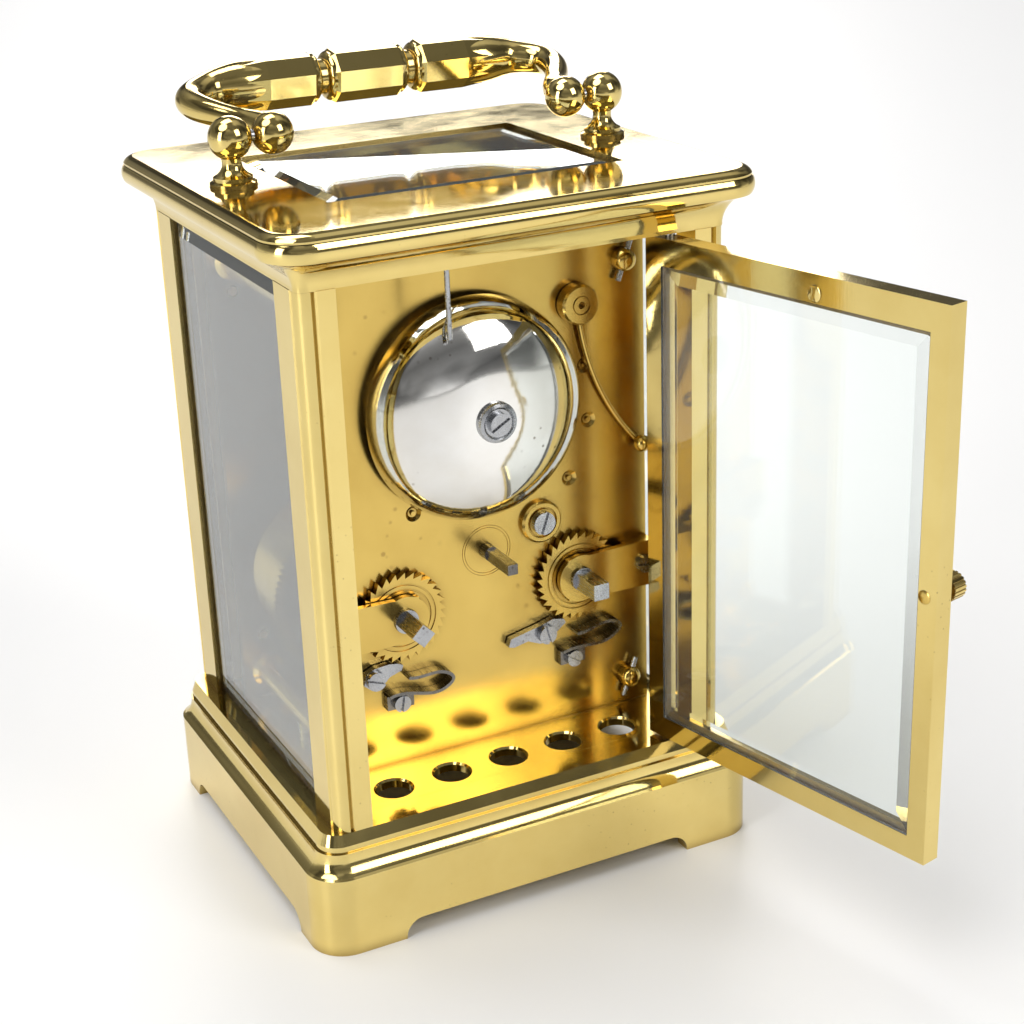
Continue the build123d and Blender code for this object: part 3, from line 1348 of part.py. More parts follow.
with BuildPart() as warning_wheel:
    crossed_wheel(warning_at, warning_teeth, fly_drive_module, warning_angle, warning_level, 4)
    arbor_with_pinion(warning_at, warning_leaves, warning_drive_module, warning_angle, pin_level + 0.9)
finish(warning_wheel.part, "warning_wheel")

with BuildPart() as fly:
    arbor_with_pinion(fly_at, fly_leaves, fly_drive_module, fly_angle, warning_level + 1.0)
    slab([(fly_at[0] - vane_half, fly_at[1] - 0.25), (fly_at[0] + vane_half, fly_at[1] - 0.25),
          (fly_at[0] + vane_half, fly_at[1] + 0.25), (fly_at[0] - vane_half, fly_at[1] + 0.25)], 13.0, 10.0)
    rod(fly_at, 1.3, 12.0, 4.0)
finish(fly.part, "fly")

# ---------------------------------------------------------------- bell and hammer
with BuildPart() as bell_stand:
    stand_radius = 2.2
    turning(bell_at,
            [(0, bell_inside_y), (stand_radius, bell_inside_y), (stand_radius, back_plate_rear + 1.6),
                      (stand_radius + 1.3, back_plate_rear + 1.0), (stand_radius + 1.3, back_plate_rear),
                      (bell_screw_radius, back_plate_rear), (bell_screw_radius, back_plate_front),
                      (0, back_plate_front)])
    bore(bell_at, bell_screw_radius + seat, bell_inside_y + 1, bell_head - 1.1 - 7.3)
finish(bell_stand.part, "bell_stand")

with BuildPart() as bell:
    with BuildSketch(Plane(origin=(bell_at[0], 0, bell_at[1]), x_dir=(1, 0, 0), z_dir=(0, 0, 1))) as shell:
        flat = 4.5
        with BuildLine():
            outside = Spline((flat, bell_apex_y), (0.62 * bell_radius, bell_apex_y - 0.14 * bell_depth),
                             (0.9 * bell_radius, bell_apex_y - 0.46 * bell_depth), (bell_radius, bell_rim_y),
                             tangents=((1, 0), (0.12, -1)))
            Line((bell_radius, bell_rim_y), (bell_radius - bell_wall, bell_rim_y))
            inside = Spline((bell_radius - bell_wall, bell_rim_y),
                            (0.9 * bell_radius - bell_wall, bell_apex_y - 0.50 * bell_depth),
                            (0.62 * bell_radius - 0.4 * bell_wall, bell_inside_y - 0.15 * bell_depth),
                            (flat, bell_inside_y),
                            tangents=((-0.12, 1), (-1, 0)))
            Polyline((flat, bell_inside_y), (bell_screw_radius + seat, bell_inside_y),
                     (bell_screw_radius + seat, bell_apex_y),
                     (flat, bell_apex_y))
        make_face()
    revolve(shell.sketch, axis=Axis((bell_at[0], 0, bell_at[1]), (0, 1, 0)))
finish(bell.part, "bell")

hammer_head_y = back_plate_rear + hammer_head_gap
hammer_arm_y = back_plate_rear + hammer_arm_gap
collet_rear = back_plate_rear + collet_height
hammer_turn = math.radians(bearing(hammer_at, hammer_head_at))
with BuildPart() as hammer:
    turning(hammer_at,
            [(0, collet_rear), (collet_radius - 0.4, collet_rear), (collet_radius, collet_rear - 0.4),
                        (collet_radius, back_plate_rear + 0.3),
                        (hammer_arbor_radius, back_plate_rear + 0.3),
                        (hammer_arbor_radius, front_plate_rear + 0.15),
                        (pivot_radius, front_plate_rear + 0.15), (pivot_radius, front_plate_front + fit),
                        (0, front_plate_front + fit)])
    bore(hammer_at, 0.7, collet_rear + 1, collet_rear - 1.0)
    ring_groove(hammer_at, 1.6, 0.3, collet_rear, 0.3)
    # the wire bows towards the bell and passes under its rim
    middle_x = (hammer_at[0] + hammer_head_at[0]) / 2 - hammer_arm_bow * math.sin(hammer_turn)
    middle_z = (hammer_at[1] + hammer_head_at[1]) / 2 + hammer_arm_bow * math.cos(hammer_turn)
    with BuildLine() as hammer_arm:
        ThreePointArc((hammer_at[0], hammer_arm_y, hammer_at[1]), (middle_x, hammer_arm_y, middle_z),
                      (hammer_head_at[0], hammer_arm_y, hammer_head_at[1]))
    with BuildSketch(Plane(origin=hammer_arm.line @ 0, z_dir=hammer_arm.line % 0)) as arm_round:
        Circle(hammer_arm_radius)
    sweep(sections=arm_round.sketch, path=hammer_arm.line)
    with Locations((hammer_head_at[0], hammer_head_y, hammer_head_at[1])):
        Sphere(hammer_ball_radius)
finish(hammer.part, "hammer")

# ---------------------------------------------------------------- platform escapement
platform_rear = back_plate_rear
platform_front = front_plate_front
platform_top = plate_top + platform_thickness
potence_z = plate_top - 6.2


def flat_piece(outline, low, thickness, mode=Mode.ADD):
    """Adds a level plate of that outline in X and Y."""
    with BuildSketch(Plane.XY.offset(low)) as flat:
        with BuildLine():
            Polyline(outline, close=True)
        make_face()
    extrude(flat.sketch, amount=thickness, mode=mode)


def block(x, y, z):
    flat_piece([(x[0], y[0]), (x[1], y[0]), (x[1], y[1]), (x[0], y[1])], z[0], z[1] - z[0])


def upright_bore(x, y, radius, low, high):
    upright(x, y, [(0, low), (radius, low), (radius, high), (0, high)], Mode.SUBTRACT)


jewel_hole = 0.22 + 0.04
with BuildPart() as platform:
    half_platform = platform_width / 2
    block((-half_platform, half_platform), (platform_front, platform_rear), (plate_top, platform_top))
    upright_bore(0, escape_y, 1.9, plate_top - 1, platform_top + 1)
    block((-1.6, 1.6), (escape_y + 2.4, escape_y + 3.6), (potence_z, plate_top + 0.5))
    block((-1.6, 1.6), (escape_y - 0.8, escape_y + 3.6), (potence_z - 0.9, potence_z))
    for place_y, low in ((escape_y, potence_z - 2), (balance_y, plate_top - 1), (lever_y, plate_top + 0.4)):
        upright_bore(0, place_y, jewel_hole, low, low + 3.2 if low > 0 else 0)
    for x, y in platform_screws:
        upright_bore(x, y, 0.7 + seat, plate_top - 1, platform_top + 1)
finish(platform.part, "platform")

escape_pinion_pitch = contrate_radius / contrate_teeth * escape_pinion_leaves
escape_module = 2 * escape_pinion_pitch / escape_pinion_leaves
escape_level = platform_top + 1.2
with BuildPart() as escape_wheel:
    upright(0, escape_y,
            [(0, potence_z - 0.9), (escape_pivot, potence_z - 0.9), (escape_pivot, potence_z + 0.1),
                          (0.5, potence_z + 0.1), (0.5, escape_level + 2.0),
                          (escape_pivot, escape_level + 2.0),
                          (escape_pivot, escape_level + 3.0), (0, escape_level + 3.0)])
    leaf_angle = -90 + 180 / escape_pinion_leaves
    flat_piece(toothed_outline((0, escape_y), escape_pinion_leaves, escape_module, leaf_angle),
               contrate_at[1] + contrate_radius - 2.0, 4.0)
    tooth_step = 2 * math.pi / escape_teeth
    rim = []
    for number in range(escape_teeth):
        for reach, share in ((escape_radius - 1.3, -0.30), (escape_radius, 0.10), (escape_radius, 0.22),
                             (escape_radius - 1.2, 0.12)):
            a = (number + share) * tooth_step
            rim.append((reach * math.cos(a), escape_y + reach * math.sin(a)))
    flat_piece(rim, escape_level, 0.5)
    upright(0, escape_y,
            [(0, escape_level - 0.5), (1.1, escape_level - 0.5), (1.1, escape_level + 0.9),
             (0, escape_level + 0.9)])
finish(escape_wheel.part, "escape_wheel")

with BuildPart() as pallet_lever:
    fork_end = balance_y - 2.15
    flat_piece([(-3.6, lever_y - 2.0), (-3.2, lever_y - 2.4), (-2.7, lever_y - 0.2), (-0.6, lever_y - 0.9),
                (0.6, lever_y - 0.9), (2.7, lever_y - 0.2), (3.2, lever_y - 2.4), (3.6, lever_y - 2.0),
                (3.3, lever_y + 0.7), (0.9, lever_y + 1.0), (0.35, lever_y + 2.0), (0.35, fork_end - 1.6),
                (1.0, fork_end - 1.0), (0.8, fork_end), (0.4, fork_end), (0.35, fork_end - 0.8),
                (-0.35, fork_end - 0.8), (-0.4, fork_end), (-0.8, fork_end), (-1.0, fork_end - 1.0),
                (-0.35, fork_end - 1.6), (-0.35, lever_y + 2.0), (-0.9, lever_y + 1.0),
                (-3.3, lever_y + 0.7)],
               escape_level, 0.5)
    upright(0, lever_y, [(0, platform_top - 0.6), (0.2, platform_top - 0.6), (0.2, platform_top + 0.2),
                         (0.45, platform_top + 0.2), (0.45, escape_level + 2.0), (0.2, escape_level + 2.0),
                         (0.2, escape_level + 3.0), (0, escape_level + 3.0)])
finish(pallet_lever.part, "pallet_lever")

balance_level = platform_top + 3.1
cock_low = balance_level + 1.8
cock_top = cock_low + 1.4
with BuildPart() as balance_wheel:
    with BuildSketch(Plane.XY.offset(balance_level)) as wheel:
        with Locations((0, balance_y)):
            Circle(balance_radius)
            Circle(balance_radius - 0.9, mode=Mode.SUBTRACT)
            Rectangle(2 * balance_radius - 0.8, 1.0)
            Circle(1.2)
    extrude(wheel.sketch, amount=0.8)
    with BuildSketch(Plane.XY.offset(balance_level + 0.1)) as weights:
        with Locations((0, balance_y)):
            with PolarLocations(balance_radius + 0.2, 12, start_angle=15):
                Rectangle(0.8, 0.6)
    extrude(weights.sketch, amount=0.6)
    upright(0, balance_y,
            [(0, plate_top + 0.2), (0.2, plate_top + 0.2), (0.2, platform_top + 0.3),
             (0.4, platform_top + 0.3),
                           (0.4, balance_level - 1.4), (1.6, balance_level - 1.4), (1.6, balance_level - 1.0),
                           (0.4, balance_level - 1.0), (0.4, cock_low - 0.15), (0.2, cock_low - 0.15),
                           (0.2, cock_low + 0.8), (0, cock_low + 0.8)])
finish(balance_wheel.part, "balance_wheel")

with BuildPart() as platform_cocks:
    foot_front = balance_y + balance_radius + 1.2
    block((-3.6, 3.6), (foot_front, platform_rear - 0.2), (platform_top, cock_top))
    flat_piece([(-3.6, foot_front + 0.4), (3.6, foot_front + 0.4), (2.4, balance_y - 0.6),
                (1.4, balance_y - 2.2),
                (-1.4, balance_y - 2.2), (-2.4, balance_y - 0.6)], cock_low, cock_top - cock_low)
    upright(0, balance_y,
            [(0, cock_low), (regulator_bore, cock_low), (regulator_bore, cock_top + 1.0),
             (0, cock_top + 1.0)])
    upright_bore(0, balance_y, 0.24, cock_low - 1, cock_low + 1.0)
    # bridge over the escape wheel and the lever
    bridge_low = escape_level + 2.15
    block((6.0, 10.5), (escape_y - 2.2, lever_y + 1.2), (platform_top, bridge_low + 1.0))
    block((-1.6, 6.5), (escape_y - 1.6, lever_y + 1.2), (bridge_low, bridge_low + 1.0))
    for place_y in (escape_y, lever_y):
        upright_bore(0, place_y, jewel_hole, bridge_low - 1, bridge_low + 2)
finish(platform_cocks.part, "platform_cocks")

regulator_tip = (10.6, 30.0)
wire_low = plate_top - 10.0
with BuildPart() as regulator_lever:
    lever_low = cock_top + 0.05
    run = Vector(regulator_tip[0], regulator_tip[1] - balance_y, 0)
    lever_plane = Plane(origin=(0, balance_y, lever_low), x_dir=run, z_dir=(0, 0, 1))
    with BuildSketch(lever_plane) as lever_face:
        with BuildLine():
            Polyline((0, -1.6), (run.length * 0.4, -0.7), (run.length, -0.6), (run.length, 0.6),
                     (run.length * 0.4, 0.7),
                     (0, 1.6), close=True)
        make_face()
        Circle(2.6)
        with Locations((-3.4, 0)):
            Rectangle(2.4, 1.2)
        Circle(regulator_bore + fit, mode=Mode.SUBTRACT)
    extrude(lever_face.sketch, amount=regulator_thickness)
    upright(regulator_tip[0], regulator_tip[1],
            [(0, lever_low + regulator_thickness), (wire_radius, lever_low + regulator_thickness),
                                                 (wire_radius, wire_low), (0, wire_low)])
finish(regulator_lever.part, "regulator_lever")
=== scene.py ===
import bpy
import math
from mathutils import Matrix, Vector


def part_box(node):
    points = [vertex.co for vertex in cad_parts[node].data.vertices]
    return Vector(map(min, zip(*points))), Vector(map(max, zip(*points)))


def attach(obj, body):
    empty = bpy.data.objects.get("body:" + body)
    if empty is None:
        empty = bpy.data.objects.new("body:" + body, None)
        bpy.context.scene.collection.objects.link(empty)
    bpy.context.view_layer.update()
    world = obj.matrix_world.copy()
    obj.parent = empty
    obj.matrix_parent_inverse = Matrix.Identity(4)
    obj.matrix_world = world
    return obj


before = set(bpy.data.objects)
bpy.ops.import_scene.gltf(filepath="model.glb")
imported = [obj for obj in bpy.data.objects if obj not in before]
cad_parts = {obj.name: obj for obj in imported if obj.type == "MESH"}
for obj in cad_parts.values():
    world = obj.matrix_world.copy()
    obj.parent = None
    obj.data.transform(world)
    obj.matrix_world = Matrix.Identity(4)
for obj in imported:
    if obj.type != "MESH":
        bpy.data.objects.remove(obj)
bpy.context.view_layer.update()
mm = 0.001


def deselectAll():
    if bpy.context.object and bpy.context.object.mode != 'OBJECT':
        bpy.ops.object.mode_set(mode='OBJECT')
    bpy.ops.object.select_all(action='DESELECT')


# camera, floor and lights
cameraSetup = {
    "lens": 67.9,
    "place": (149.12, 330.23, 209.89),
    "look": (-0.41426, -0.83137, -0.37041),
    "up": (-0.19828, -0.31476, 0.92823),
}


def placeCamera(s):
    deselectAll()
    bpy.ops.object.camera_add()
    cam = bpy.context.object
    cam.name = "studioCamera"
    cam.data.lens = s["lens"]
    cam.data.sensor_width = 36
    cam.data.clip_start = 0.01
    look = Vector(s["look"]).normalized()
    right = look.cross(Vector(s["up"])).normalized()
    up = right.cross(look)
    turned = Matrix((right, up, -look)).transposed().to_4x4()
    cam.matrix_world = Matrix.Translation(Vector(s["place"]) * mm) @ turned
    bpy.context.scene.camera = cam


placeCamera(cameraSetup)

sunSetup = {"aimFrom": (0.50, 0.10, 0.86), "spread": 38, "strength": 1.2, "colour": (1.0, 0.99, 0.97)}

lightSetup = {
    # name: (place mm, aim mm, width mm, height mm, watts, colour)
    "keyBox": ((-1100, 1980, 1460), (0, 0, 90), 1090, 1350, 22.0, (1.0, 0.99, 0.97)),
    "sideBox": ((2130, 620, 680), (0, 0, 80), 680, 1610, 17.0, (1.0, 1.0, 1.0)),
    "topBox": ((100, -680, 2340), (0, 0, 80), 1350, 1090, 20.0, (1.0, 1.0, 1.0)),
    "frontBox": ((-1090, -2400, 1200), (0, 0, 90), 1350, 1090, 20.0, (1.0, 0.99, 0.98)),
}


def placeSun(s):
    deselectAll()
    bpy.ops.object.light_add(type='SUN')
    lamp = bpy.context.object
    lamp.name = "skylight"
    lamp.data.angle = math.radians(s["spread"])
    lamp.data.energy = s["strength"]
    lamp.data.color = s["colour"]
    lamp.rotation_euler = (-Vector(s["aimFrom"])).to_track_quat('-Z', 'Y').to_euler()


def placeLights(setup):
    for name, (place, aim, width, height, watts, colour) in setup.items():
        deselectAll()
        bpy.ops.object.light_add(type='AREA')
        lamp = bpy.context.object
        lamp.name = name
        lamp.data.shape = 'RECTANGLE'
        lamp.data.size = width * mm
        lamp.data.size_y = height * mm
        lamp.data.energy = watts
        lamp.data.color = colour
        lamp.location = Vector(place) * mm
        lamp.rotation_euler = (Vector(aim) - Vector(place)).to_track_quat('-Z', 'Y').to_euler()


placeSun(sunSetup)
placeLights(lightSetup)

worldSetup = {
    # height of the view direction: grey level of the room there
    "levels": ((-0.02, 0.95), (0.05, 0.52), (0.16, 0.25), (0.40, 0.14), (0.62, 0.24), (0.90, 0.62)),
    "patches": (1.7, 0.44, 0.55, 0.30),
    "strength": 1.0,
}


def makeWorld(s):
    # a pale studio: bright at the table's edge and overhead, dim and uneven between them
    world = bpy.data.worlds.new("studioWorld")
    bpy.context.scene.world = world
    world.use_nodes = True
    nodes, links = world.node_tree.nodes, world.node_tree.links
    nodes.clear()
    out = nodes.new("ShaderNodeOutputWorld")
    back = nodes.new("ShaderNodeBackground")
    coord = nodes.new("ShaderNodeTexCoord")
    split = nodes.new("ShaderNodeSeparateXYZ")
    ramp = nodes.new("ShaderNodeValToRGB")
    patches = nodes.new("ShaderNodeTexNoise")
    shade = nodes.new("ShaderNodeMapRange")
    times = nodes.new("ShaderNodeMath")
    half = nodes.new("ShaderNodeMath")
    half.operation = 'MULTIPLY_ADD'
    half.inputs[1].default_value = 0.5
    half.inputs[2].default_value = 0.5
    times.operation = 'MULTIPLY'
    scale, lowAt, highAt, least = s["patches"]
    patches.inputs["Scale"].default_value = scale
    patches.inputs["Detail"].default_value = 1.0
    for socket, value in (("From Min", lowAt), ("From Max", highAt), ("To Min", least), ("To Max", 1.0)):
        shade.inputs[socket].default_value = value
    links.new(coord.outputs["Generated"], split.inputs[0])
    links.new(coord.outputs["Generated"], patches.inputs["Vector"])
    links.new(split.outputs["Z"], half.inputs[0])
    links.new(half.outputs[0], ramp.inputs["Fac"])
    links.new(patches.outputs["Fac"], shade.inputs["Value"])
    stops = ramp.color_ramp.elements
    first, last = s["levels"][0], s["levels"][-1]
    for stop, (height, grey) in zip((stops[0], stops[1]), (first, last)):
        stop.position, stop.color = height / 2 + 0.5, (grey, grey, grey, 1)
    for height, grey in s["levels"][1:-1]:
        stops.new(height / 2 + 0.5).color = (grey, grey, grey, 1)
    links.new(ramp.outputs["Color"], times.inputs[0])
    links.new(shade.outputs["Result"], times.inputs[1])
    links.new(times.outputs[0], back.inputs["Color"])
    back.inputs["Strength"].default_value = s["strength"]
    links.new(back.outputs[0], out.inputs[0])


makeWorld(worldSetup)
bpy.context.scene.view_settings.view_transform = 'Standard'

print("camera and lights in place")


# one small kit for the node materials; every pattern reads Object coordinates in metres
class Finish:
    def __init__(self, name):
        self.mat = bpy.data.materials.new(name)
        self.mat.use_nodes = True
        self.nodes = self.mat.node_tree.nodes
        self.links = self.mat.node_tree.links
        self.shader = self.nodes["Principled BSDF"]
        self.coord = self.nodes.new("ShaderNodeTexCoord")

    def put(self, socket, value):
        # a constant, or another node's output
        if isinstance(value, bpy.types.NodeSocket):
            self.links.new(value, socket)
        elif isinstance(value, (tuple, list)) and len(value) == 3 and socket.type == 'RGBA':
            socket.default_value = (*value, 1)
        else:
            socket.default_value = value

    def mapped(self, scale=(1, 1, 1), turn=(0, 0, 0)):
        node = self.nodes.new("ShaderNodeMapping")
        node.inputs["Scale"].default_value = scale
        node.inputs["Rotation"].default_value = turn
        self.links.new(self.coord.outputs["Object"], node.inputs["Vector"])
        return node.outputs["Vector"]

    def noise(self, scale, detail=4.0, rough=0.55, stretch=(1, 1, 1), turn=(0, 0, 0)):
        node = self.nodes.new("ShaderNodeTexNoise")
        node.inputs["Scale"].default_value = scale
        node.inputs["Detail"].default_value = detail
        node.inputs["Roughness"].default_value = rough
        self.links.new(self.mapped(stretch, turn), node.inputs["Vector"])
        return node.outputs["Fac"]

    def spots(self, scale, size):
        # 1 in small round spots, 0 between them
        node = self.nodes.new("ShaderNodeTexVoronoi")
        node.inputs["Scale"].default_value = scale
        node.inputs["Randomness"].default_value = 1.0
        self.links.new(self.mapped(), node.inputs["Vector"])
        return self.ramp(node.outputs["Distance"], size, 1.0, size * 1.9, 0.0)

    def ramp(self, fac, lowAt, lowValue, highAt, highValue):
        node = self.nodes.new("ShaderNodeMapRange")
        ends = {"From Min": lowAt, "From Max": highAt, "To Min": lowValue, "To Max": highValue}
        for socket, value in ends.items():
            node.inputs[socket].default_value = value
        node.clamp = True
        self.links.new(fac, node.inputs["Value"])
        return node.outputs["Result"]

    def maths(self, kind, a, b):
        node = self.nodes.new("ShaderNodeMath")
        node.operation = kind
        node.use_clamp = kind in ('MULTIPLY', 'ADD')
        self.put(node.inputs[0], a)
        self.put(node.inputs[1], b)
        return node.outputs[0]

    def mix(self, fac, a, b):
        node = self.nodes.new("ShaderNodeMix")
        node.data_type = 'RGBA'
        self.put(node.inputs["Factor"], fac)
        self.put(node.inputs["A"], a)
        self.put(node.inputs["B"], b)
        return node.outputs["Result"]

    def corners(self, reach):
        # 1 in open places, falling in tight corners: an occlusion mask that the brass finishes use to paint
        # shade
        node = self.nodes.new("ShaderNodeAmbientOcclusion")
        node.inputs["Distance"].default_value = reach
        node.samples = 6
        return node.outputs["AO"]

    def bump(self, height, strength, distance):
        node = self.nodes.new("ShaderNodeBump")
        node.inputs["Strength"].default_value = strength
        node.inputs["Distance"].default_value = distance
        self.links.new(height, node.inputs["Height"])
        self.links.new(node.outputs["Normal"], self.shader.inputs["Normal"])

    def set(self, **values):
        names = {"colour": "Base Color", "metal": "Metallic", "rough": "Roughness", "ior": "IOR",
                 "coat": "Coat Weight", "coatRough": "Coat Roughness", "clear": "Transmission Weight"}
        for key, value in values.items():
            self.put(self.shader.inputs[names[key]], value)


caseBrass = {
    "bright": (0.82, 0.65, 0.25), "warm": (0.66, 0.47, 0.13),
    # the dark brown corner tone is painted shade, laid into tight corners by an occlusion mask
    "cornerShade": (0.20, 0.11, 0.03), "pin": (0.24, 0.14, 0.05),
    "cloudScale": 38, "cloudShare": 0.45,
    "cornerReach": 0.0025, "cornerShare": 0.75, "cornerRough": 0.3,
    "pinScale": 700, "pinSize": 0.07, "pinShare": 0.55,
    "hairScale": 900, "hairShare": 0.35, "waveScale": 140, "waveShare": 0.5, "bump": (0.10, 0.00012),
    "smearScale": 55, "gloss": (0.05, 0.17),
}


def polishedBrass(s):
    # lacquered case brass: cloudy tone, hairlines, pin spots and painted shade darkening the corners
    f = Finish("polishedBrass")
    cloud = f.ramp(f.noise(s["cloudScale"], 5, 0.6), 0.35, 0, 0.68, 1)
    tone = f.mix(f.maths('MULTIPLY', cloud, s["cloudShare"]), s["bright"], s["warm"])
    # painted shade: the occlusion mask darkens tight corners towards the dark brown corner tone
    corner = f.ramp(f.corners(s["cornerReach"]), 0.25, s["cornerShare"], 0.95, 0.0)
    tone = f.mix(corner, tone, s["cornerShade"])
    pinPlaces = f.ramp(f.noise(60, 3), 0.54, 0, 0.66, s["pinShare"])
    tone = f.mix(f.maths('MULTIPLY', f.spots(s["pinScale"], s["pinSize"]), pinPlaces), tone, s["pin"])
    hairs = f.noise(s["hairScale"], 3, 0.7, (1, 1, 0.06), (0.3, 0.2, 0.4))
    smear = f.ramp(f.noise(s["smearScale"], 6, 0.65), 0.35, s["gloss"][0], 0.75, s["gloss"][1])
    f.set(colour=tone, metal=1.0, rough=f.maths('ADD', smear, f.maths('MULTIPLY', corner, s["cornerRough"])))
    waves = f.maths('MULTIPLY', f.noise(s["waveScale"], 3), s["waveShare"])
    f.bump(f.maths('ADD', f.maths('MULTIPLY', hairs, s["hairShare"]), waves), *s["bump"])
    return f.mat


plateBrass = {
    "bright": (0.72, 0.51, 0.14), "warm": (0.54, 0.35, 0.08),
    # the dark brown corner tone is painted shade, laid into tight corners by an occlusion mask
    "cornerShade": (0.26, 0.15, 0.04), "bloom": (0.30, 0.18, 0.06),
    "grainScale": 9000, "flatGrain": (1, 1, 0.10), "roundGrain": (1, 0.04, 1), "grainRough": 0.06,
    "cloudScale": 34, "cloudShare": 0.55,
    "cornerReach": 0.003, "cornerShare": 0.75,
    "bloomScale": 330, "bloomSize": 0.11, "bloomShare": 0.6,
    "gloss": (0.15, 0.24), "bump": (0.03, 0.00003),
}


def satinBrass(s, name, grain):
    # movement brass: fine straight grain, cloudy lacquer, a few tarnish blooms and painted shade in the
    # corners
    f = Finish(name)
    lines = f.noise(s["grainScale"], 2, 0.6, grain)
    cloud = f.ramp(f.noise(s["cloudScale"], 6, 0.6), 0.36, 0, 0.68, 1)
    tone = f.mix(f.maths('MULTIPLY', cloud, s["cloudShare"]), s["bright"], s["warm"])
    # painted shade: the occlusion mask darkens tight corners towards the dark brown corner tone
    corner = f.ramp(f.corners(s["cornerReach"]), 0.3, s["cornerShare"], 0.95, 0.0)
    tone = f.mix(corner, tone, s["cornerShade"])
    bloomPlaces = f.ramp(f.noise(45, 4), 0.52, 0, 0.64, s["bloomShare"])
    blooms = f.maths('MULTIPLY', f.spots(s["bloomScale"], s["bloomSize"]), bloomPlaces)
    tone = f.mix(blooms, tone, s["bloom"])
    smear = f.ramp(f.noise(70, 5, 0.6), 0.3, s["gloss"][0], 0.75, s["gloss"][1])
    f.set(colour=tone, metal=1.0, rough=f.maths('ADD', smear, f.maths('MULTIPLY', lines, s["grainRough"])))
    f.bump(lines, *s["bump"])
    return f.mat


brightSteel = {"light": (0.52, 0.53, 0.55), "dark": (0.20, 0.20, 0.22)}
springSteel = {"light": (0.24, 0.23, 0.22), "dark": (0.08, 0.075, 0.07)}
steelWork = {"pit": (0.07, 0.045, 0.03), "pitShare": 0.7, "cloudShare": 0.6,
             "gloss": (0.16, 0.32), "bump": (0.10, 0.00006)}


def polishedSteel(tones, s, name):
    # drawn steel with fine lines, cloudy tone and a few rust pits
    f = Finish(name)
    cloud = f.ramp(f.noise(130, 5, 0.6), 0.35, 0, 0.7, 1)
    lines = f.noise(3200, 2, 0.6, (1, 0.08, 1))
    tone = f.mix(f.maths('MULTIPLY', cloud, s["cloudShare"]), tones["light"], tones["dark"])
    pits = f.maths('MULTIPLY', f.spots(900, 0.16), f.ramp(f.noise(160, 3), 0.5, 0, 0.62, s["pitShare"]))
    tone = f.mix(pits, tone, s["pit"])
    f.set(colour=tone, metal=1.0, rough=f.ramp(lines, 0.3, s["gloss"][0], 0.7, s["gloss"][1]))
    f.bump(lines, *s["bump"])
    return f.mat


bellMetal = {"light": (0.86, 0.85, 0.82), "smear": (0.70, 0.66, 0.58), "pit": (0.22, 0.17, 0.12),
             "pitShare": 0.7, "gloss": (0.04, 0.12), "bump": (0.06, 0.0001)}


def bellNickel(s):
    f = Finish("bellNickel")
    smear = f.noise(70, 5, 0.6)
    tone = f.mix(f.ramp(smear, 0.42, 0, 0.72, 0.5), s["light"], s["smear"])
    pits = f.maths('MULTIPLY', f.spots(520, 0.10), f.ramp(f.noise(80, 3), 0.54, 0, 0.62, s["pitShare"]))
    tone = f.mix(pits, tone, s["pit"])
    f.set(colour=tone, metal=1.0, rough=f.ramp(smear, 0.35, s["gloss"][0], 0.75, s["gloss"][1]))
    f.bump(f.noise(260, 3), *s["bump"])
    return f.mat


doorGlass = {"ior": 1.55, "clear": 0.97}
paneGlass = {"ior": 1.72, "clear": 0.965}
glassTint = (0.94, 0.985, 0.965)


def bevelGlass(s, name):
    # clear plate with a faint green cast and a few wiped streaks
    f = Finish(name)
    smear = f.ramp(f.noise(42, 5, 0.6), 0.5, 0.0, 0.85, 0.012)
    f.set(colour=glassTint, metal=0.0, rough=smear, ior=s["ior"], clear=s["clear"])
    return f.mat


dialEnamel = {"light": (0.87, 0.86, 0.81), "warm": (0.82, 0.80, 0.73), "gloss": (0.08, 0.16)}


def whiteEnamel(s):
    f = Finish("whiteEnamel")
    cloud = f.ramp(f.noise(60, 4), 0.35, 0, 0.7, 1)
    tone = f.mix(f.maths('MULTIPLY', cloud, 0.6), s["light"], s["warm"])
    rough = f.ramp(f.noise(90, 3), 0.3, s["gloss"][0], 0.7, s["gloss"][1])
    f.set(colour=tone, metal=0.0, rough=rough, coat=0.4, coatRough=0.05)
    f.bump(f.noise(120, 2), 0.05, 0.0002)
    return f.mat


handSteel = {"blue": (0.03, 0.06, 0.24), "violet": (0.07, 0.05, 0.16), "gloss": (0.14, 0.26)}


def bluedSteel(s):
    f = Finish("bluedSteel")
    cloud = f.ramp(f.noise(240, 3), 0.35, 0, 0.7, 1)
    rough = f.ramp(f.noise(900, 2), 0.3, s["gloss"][0], 0.7, s["gloss"][1])
    f.set(colour=f.mix(cloud, s["blue"], s["violet"]), metal=1.0, rough=rough)
    return f.mat


maskGilding = {"bright": (0.90, 0.68, 0.31), "warm": (0.78, 0.54, 0.2),
               "gloss": (0.34, 0.5), "bump": (0.25, 0.0001)}


def giltGrain(s):
    # fine frosted gilding of the dial mask
    f = Finish("giltGrain")
    grain = f.noise(2400, 2, 0.7)
    cloud = f.ramp(f.noise(36, 4), 0.35, 0, 0.7, 1)
    tone = f.mix(f.maths('MULTIPLY', cloud, 0.5), s["bright"], s["warm"])
    f.set(colour=tone, metal=1.0, rough=f.ramp(grain, 0.3, s["gloss"][0], 0.7, s["gloss"][1]))
    f.bump(grain, *s["bump"])
    return f.mat


dialInk = {"dark": (0.012, 0.012, 0.014), "light": (0.03, 0.028, 0.026), "gloss": (0.18, 0.3)}


def numeralBlack(s):
    f = Finish("numeralBlack")
    rough = f.ramp(f.noise(200, 2), 0.3, s["gloss"][0], 0.7, s["gloss"][1])
    f.set(colour=f.mix(f.noise(300, 3), s["dark"], s["light"]), metal=0.0, rough=rough)
    return f.mat


jewelStone = {"dark": (0.42, 0.02, 0.06), "light": (0.62, 0.05, 0.12),
              "gloss": (0.04, 0.10), "ior": 1.76, "clear": 0.35}


